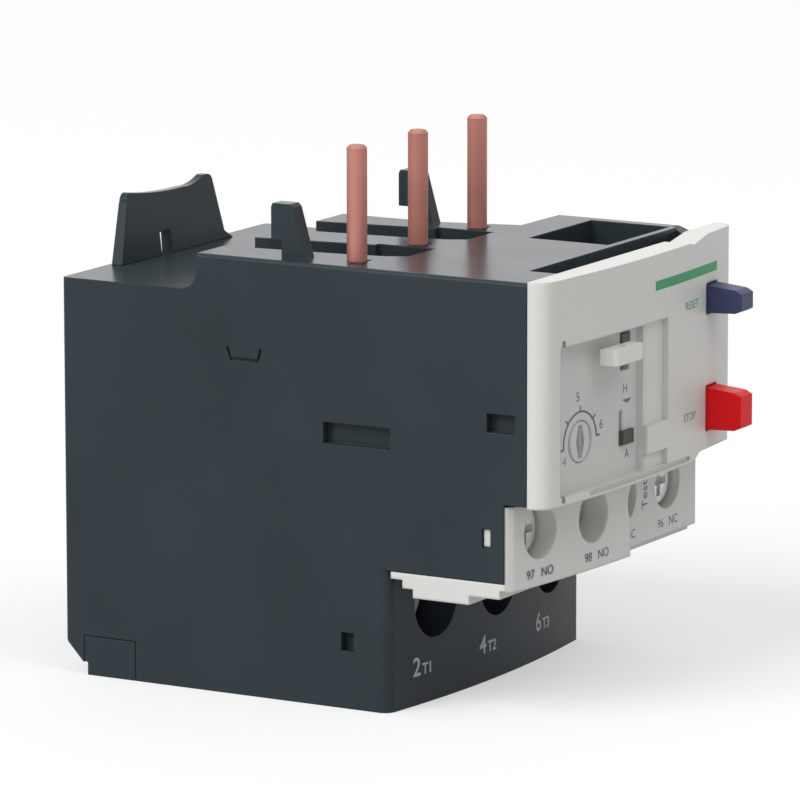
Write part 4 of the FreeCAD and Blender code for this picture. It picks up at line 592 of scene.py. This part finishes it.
def make_floor():
    """A wide dull floor, with a glow that is seen directly and in gloss and lights no dull face."""
    start_clean()
    below = 0.02 * MM
    bpy.ops.mesh.primitive_plane_add(size=2 * sizes().floor, location=(0, 0, -below))
    floor = bpy.context.object
    floor.name = "studio_floor"
    material = bpy.data.materials.new("pale_floor")
    material.use_nodes = True
    tree = material.node_tree
    tree.nodes.clear()
    dull = add_node(tree, "ShaderNodeBsdfDiffuse")
    dull.inputs["Color"].default_value = (0.5, 0.5, 0.5, 1)
    glow = add_node(tree, "ShaderNodeEmission", {"Strength": seen_outright(tree)})
    glow.inputs["Color"].default_value = (0.48, 0.48, 0.48, 1)
    both = add_node(tree, "ShaderNodeAddShader", {0: dull.outputs[0], 1: glow.outputs[0]})
    add_node(tree, "ShaderNodeOutputMaterial", {"Surface": both.outputs[0]})
    floor.data.materials.append(material)


def make_lamp(name, place, target, size, power):
    """A square area lamp at a place, aimed at a target: size in metres, power in watts."""
    data = bpy.data.lights.new(name, "AREA")
    data.shape = "SQUARE"
    data.size = size
    data.energy = power
    lamp = bpy.data.objects.new(name, data)
    bpy.context.scene.collection.objects.link(lamp)
    lamp.location = place
    lamp.rotation_euler = (Vector(target) - Vector(place)).to_track_quat("-Z", "Y").to_euler()


def make_lamps():
    """A wide soft box high on the left, a weaker one over the front and a faint one on the right."""
    middle = (0, 0, 0.03)
    make_lamp("key_lamp", (-2.9, 0.9, 2.6), middle, 2.4, 108.0)
    make_lamp("cover_lamp", (-0.6, -2.0, 3.2), middle, 2.0, 24.0)
    make_lamp("right_lamp", (2.7, 1.4, 1.3), middle, 2.0, 5.0)


def make_world():
    """A white world, at full strength only where it is seen and weaker as a light."""
    world = bpy.data.worlds.new("studio_world")
    bpy.context.scene.world = world
    world.use_nodes = True
    tree = world.node_tree
    tree.nodes.clear()
    strength = add_node(tree, "ShaderNodeMapRange", {"Value": seen_outright(tree)})
    strength.inputs["To Min"].default_value = 0.55
    strength.inputs["To Max"].default_value = 1.0
    light = add_node(tree, "ShaderNodeBackground", {"Strength": strength.outputs["Result"]})
    light.inputs["Color"].default_value = (1, 1, 1, 1)
    add_node(tree, "ShaderNodeOutputWorld", {"Surface": light.outputs[0]})


def make_camera():
    """A long lens from the left, a little above the relay."""
    place = Vector((-0.640717, -0.367000, 0.168833))
    azimuth, elevation, roll = math.radians(-60.028), math.radians(10.542), math.radians(-0.077)
    back = Vector((math.sin(azimuth) * math.cos(elevation), -math.cos(azimuth) * math.cos(elevation),
                   math.sin(elevation)))
    right = Vector((math.cos(azimuth), math.sin(azimuth), 0))
    up = back.cross(right)
    across = math.cos(roll) * right + math.sin(roll) * up
    upright = -math.sin(roll) * right + math.cos(roll) * up
    data = bpy.data.cameras.new("camera")
    data.sensor_width = 36
    data.lens = 293.82
    data.clip_start = 0.01
    data.clip_end = 100
    camera = bpy.data.objects.new("camera", data)
    bpy.context.scene.collection.objects.link(camera)
    camera.matrix_world = Matrix((
        (across.x, upright.x, back.x, place.x),
        (across.y, upright.y, back.y, place.y),
        (across.z, upright.z, back.z, place.z),
        (0, 0, 0, 1)))
    bpy.context.scene.camera = camera


OPERATORS = (RELAY_OT_finishes, RELAY_OT_cover_marks, RELAY_OT_dial_marks,
             RELAY_OT_terminal_marks, RELAY_OT_springs, RELAY_OT_stage)


class RELAY_PT_panel(bpy.types.Panel):
    """Lists the steps that dress the relay"""
    bl_idname = "RELAY_PT_panel"
    bl_label = "Overload relay"
    bl_space_type = "VIEW_3D"
    bl_region_type = "UI"
    bl_category = "Relay"

    def draw(self, context):
        for group in (context.scene.relay_colours, context.scene.relay_sizes):
            for name in group.__annotations__:
                self.layout.prop(group, name)
        for operator in OPERATORS:
            self.layout.operator(operator.bl_idname)


CLASSES = (RelayColours, RelaySizes) + OPERATORS + (RELAY_PT_panel,)


def register():
    for item in CLASSES:
        bpy.utils.register_class(item)
    bpy.types.Scene.relay_colours = bpy.props.PointerProperty(type=RelayColours)
    bpy.types.Scene.relay_sizes = bpy.props.PointerProperty(type=RelaySizes)


def unregister():
    del bpy.types.Scene.relay_colours
    del bpy.types.Scene.relay_sizes
    for item in reversed(CLASSES):
        bpy.utils.unregister_class(item)


def main():
    """Dress the relay step by step."""
    register()
    bpy.ops.relay.finishes()
    bpy.ops.relay.cover_marks()
    bpy.ops.relay.dial_marks()
    bpy.ops.relay.terminal_marks()
    bpy.ops.relay.springs()
    bpy.ops.relay.stage()


if __name__ == "__main__":
    main()
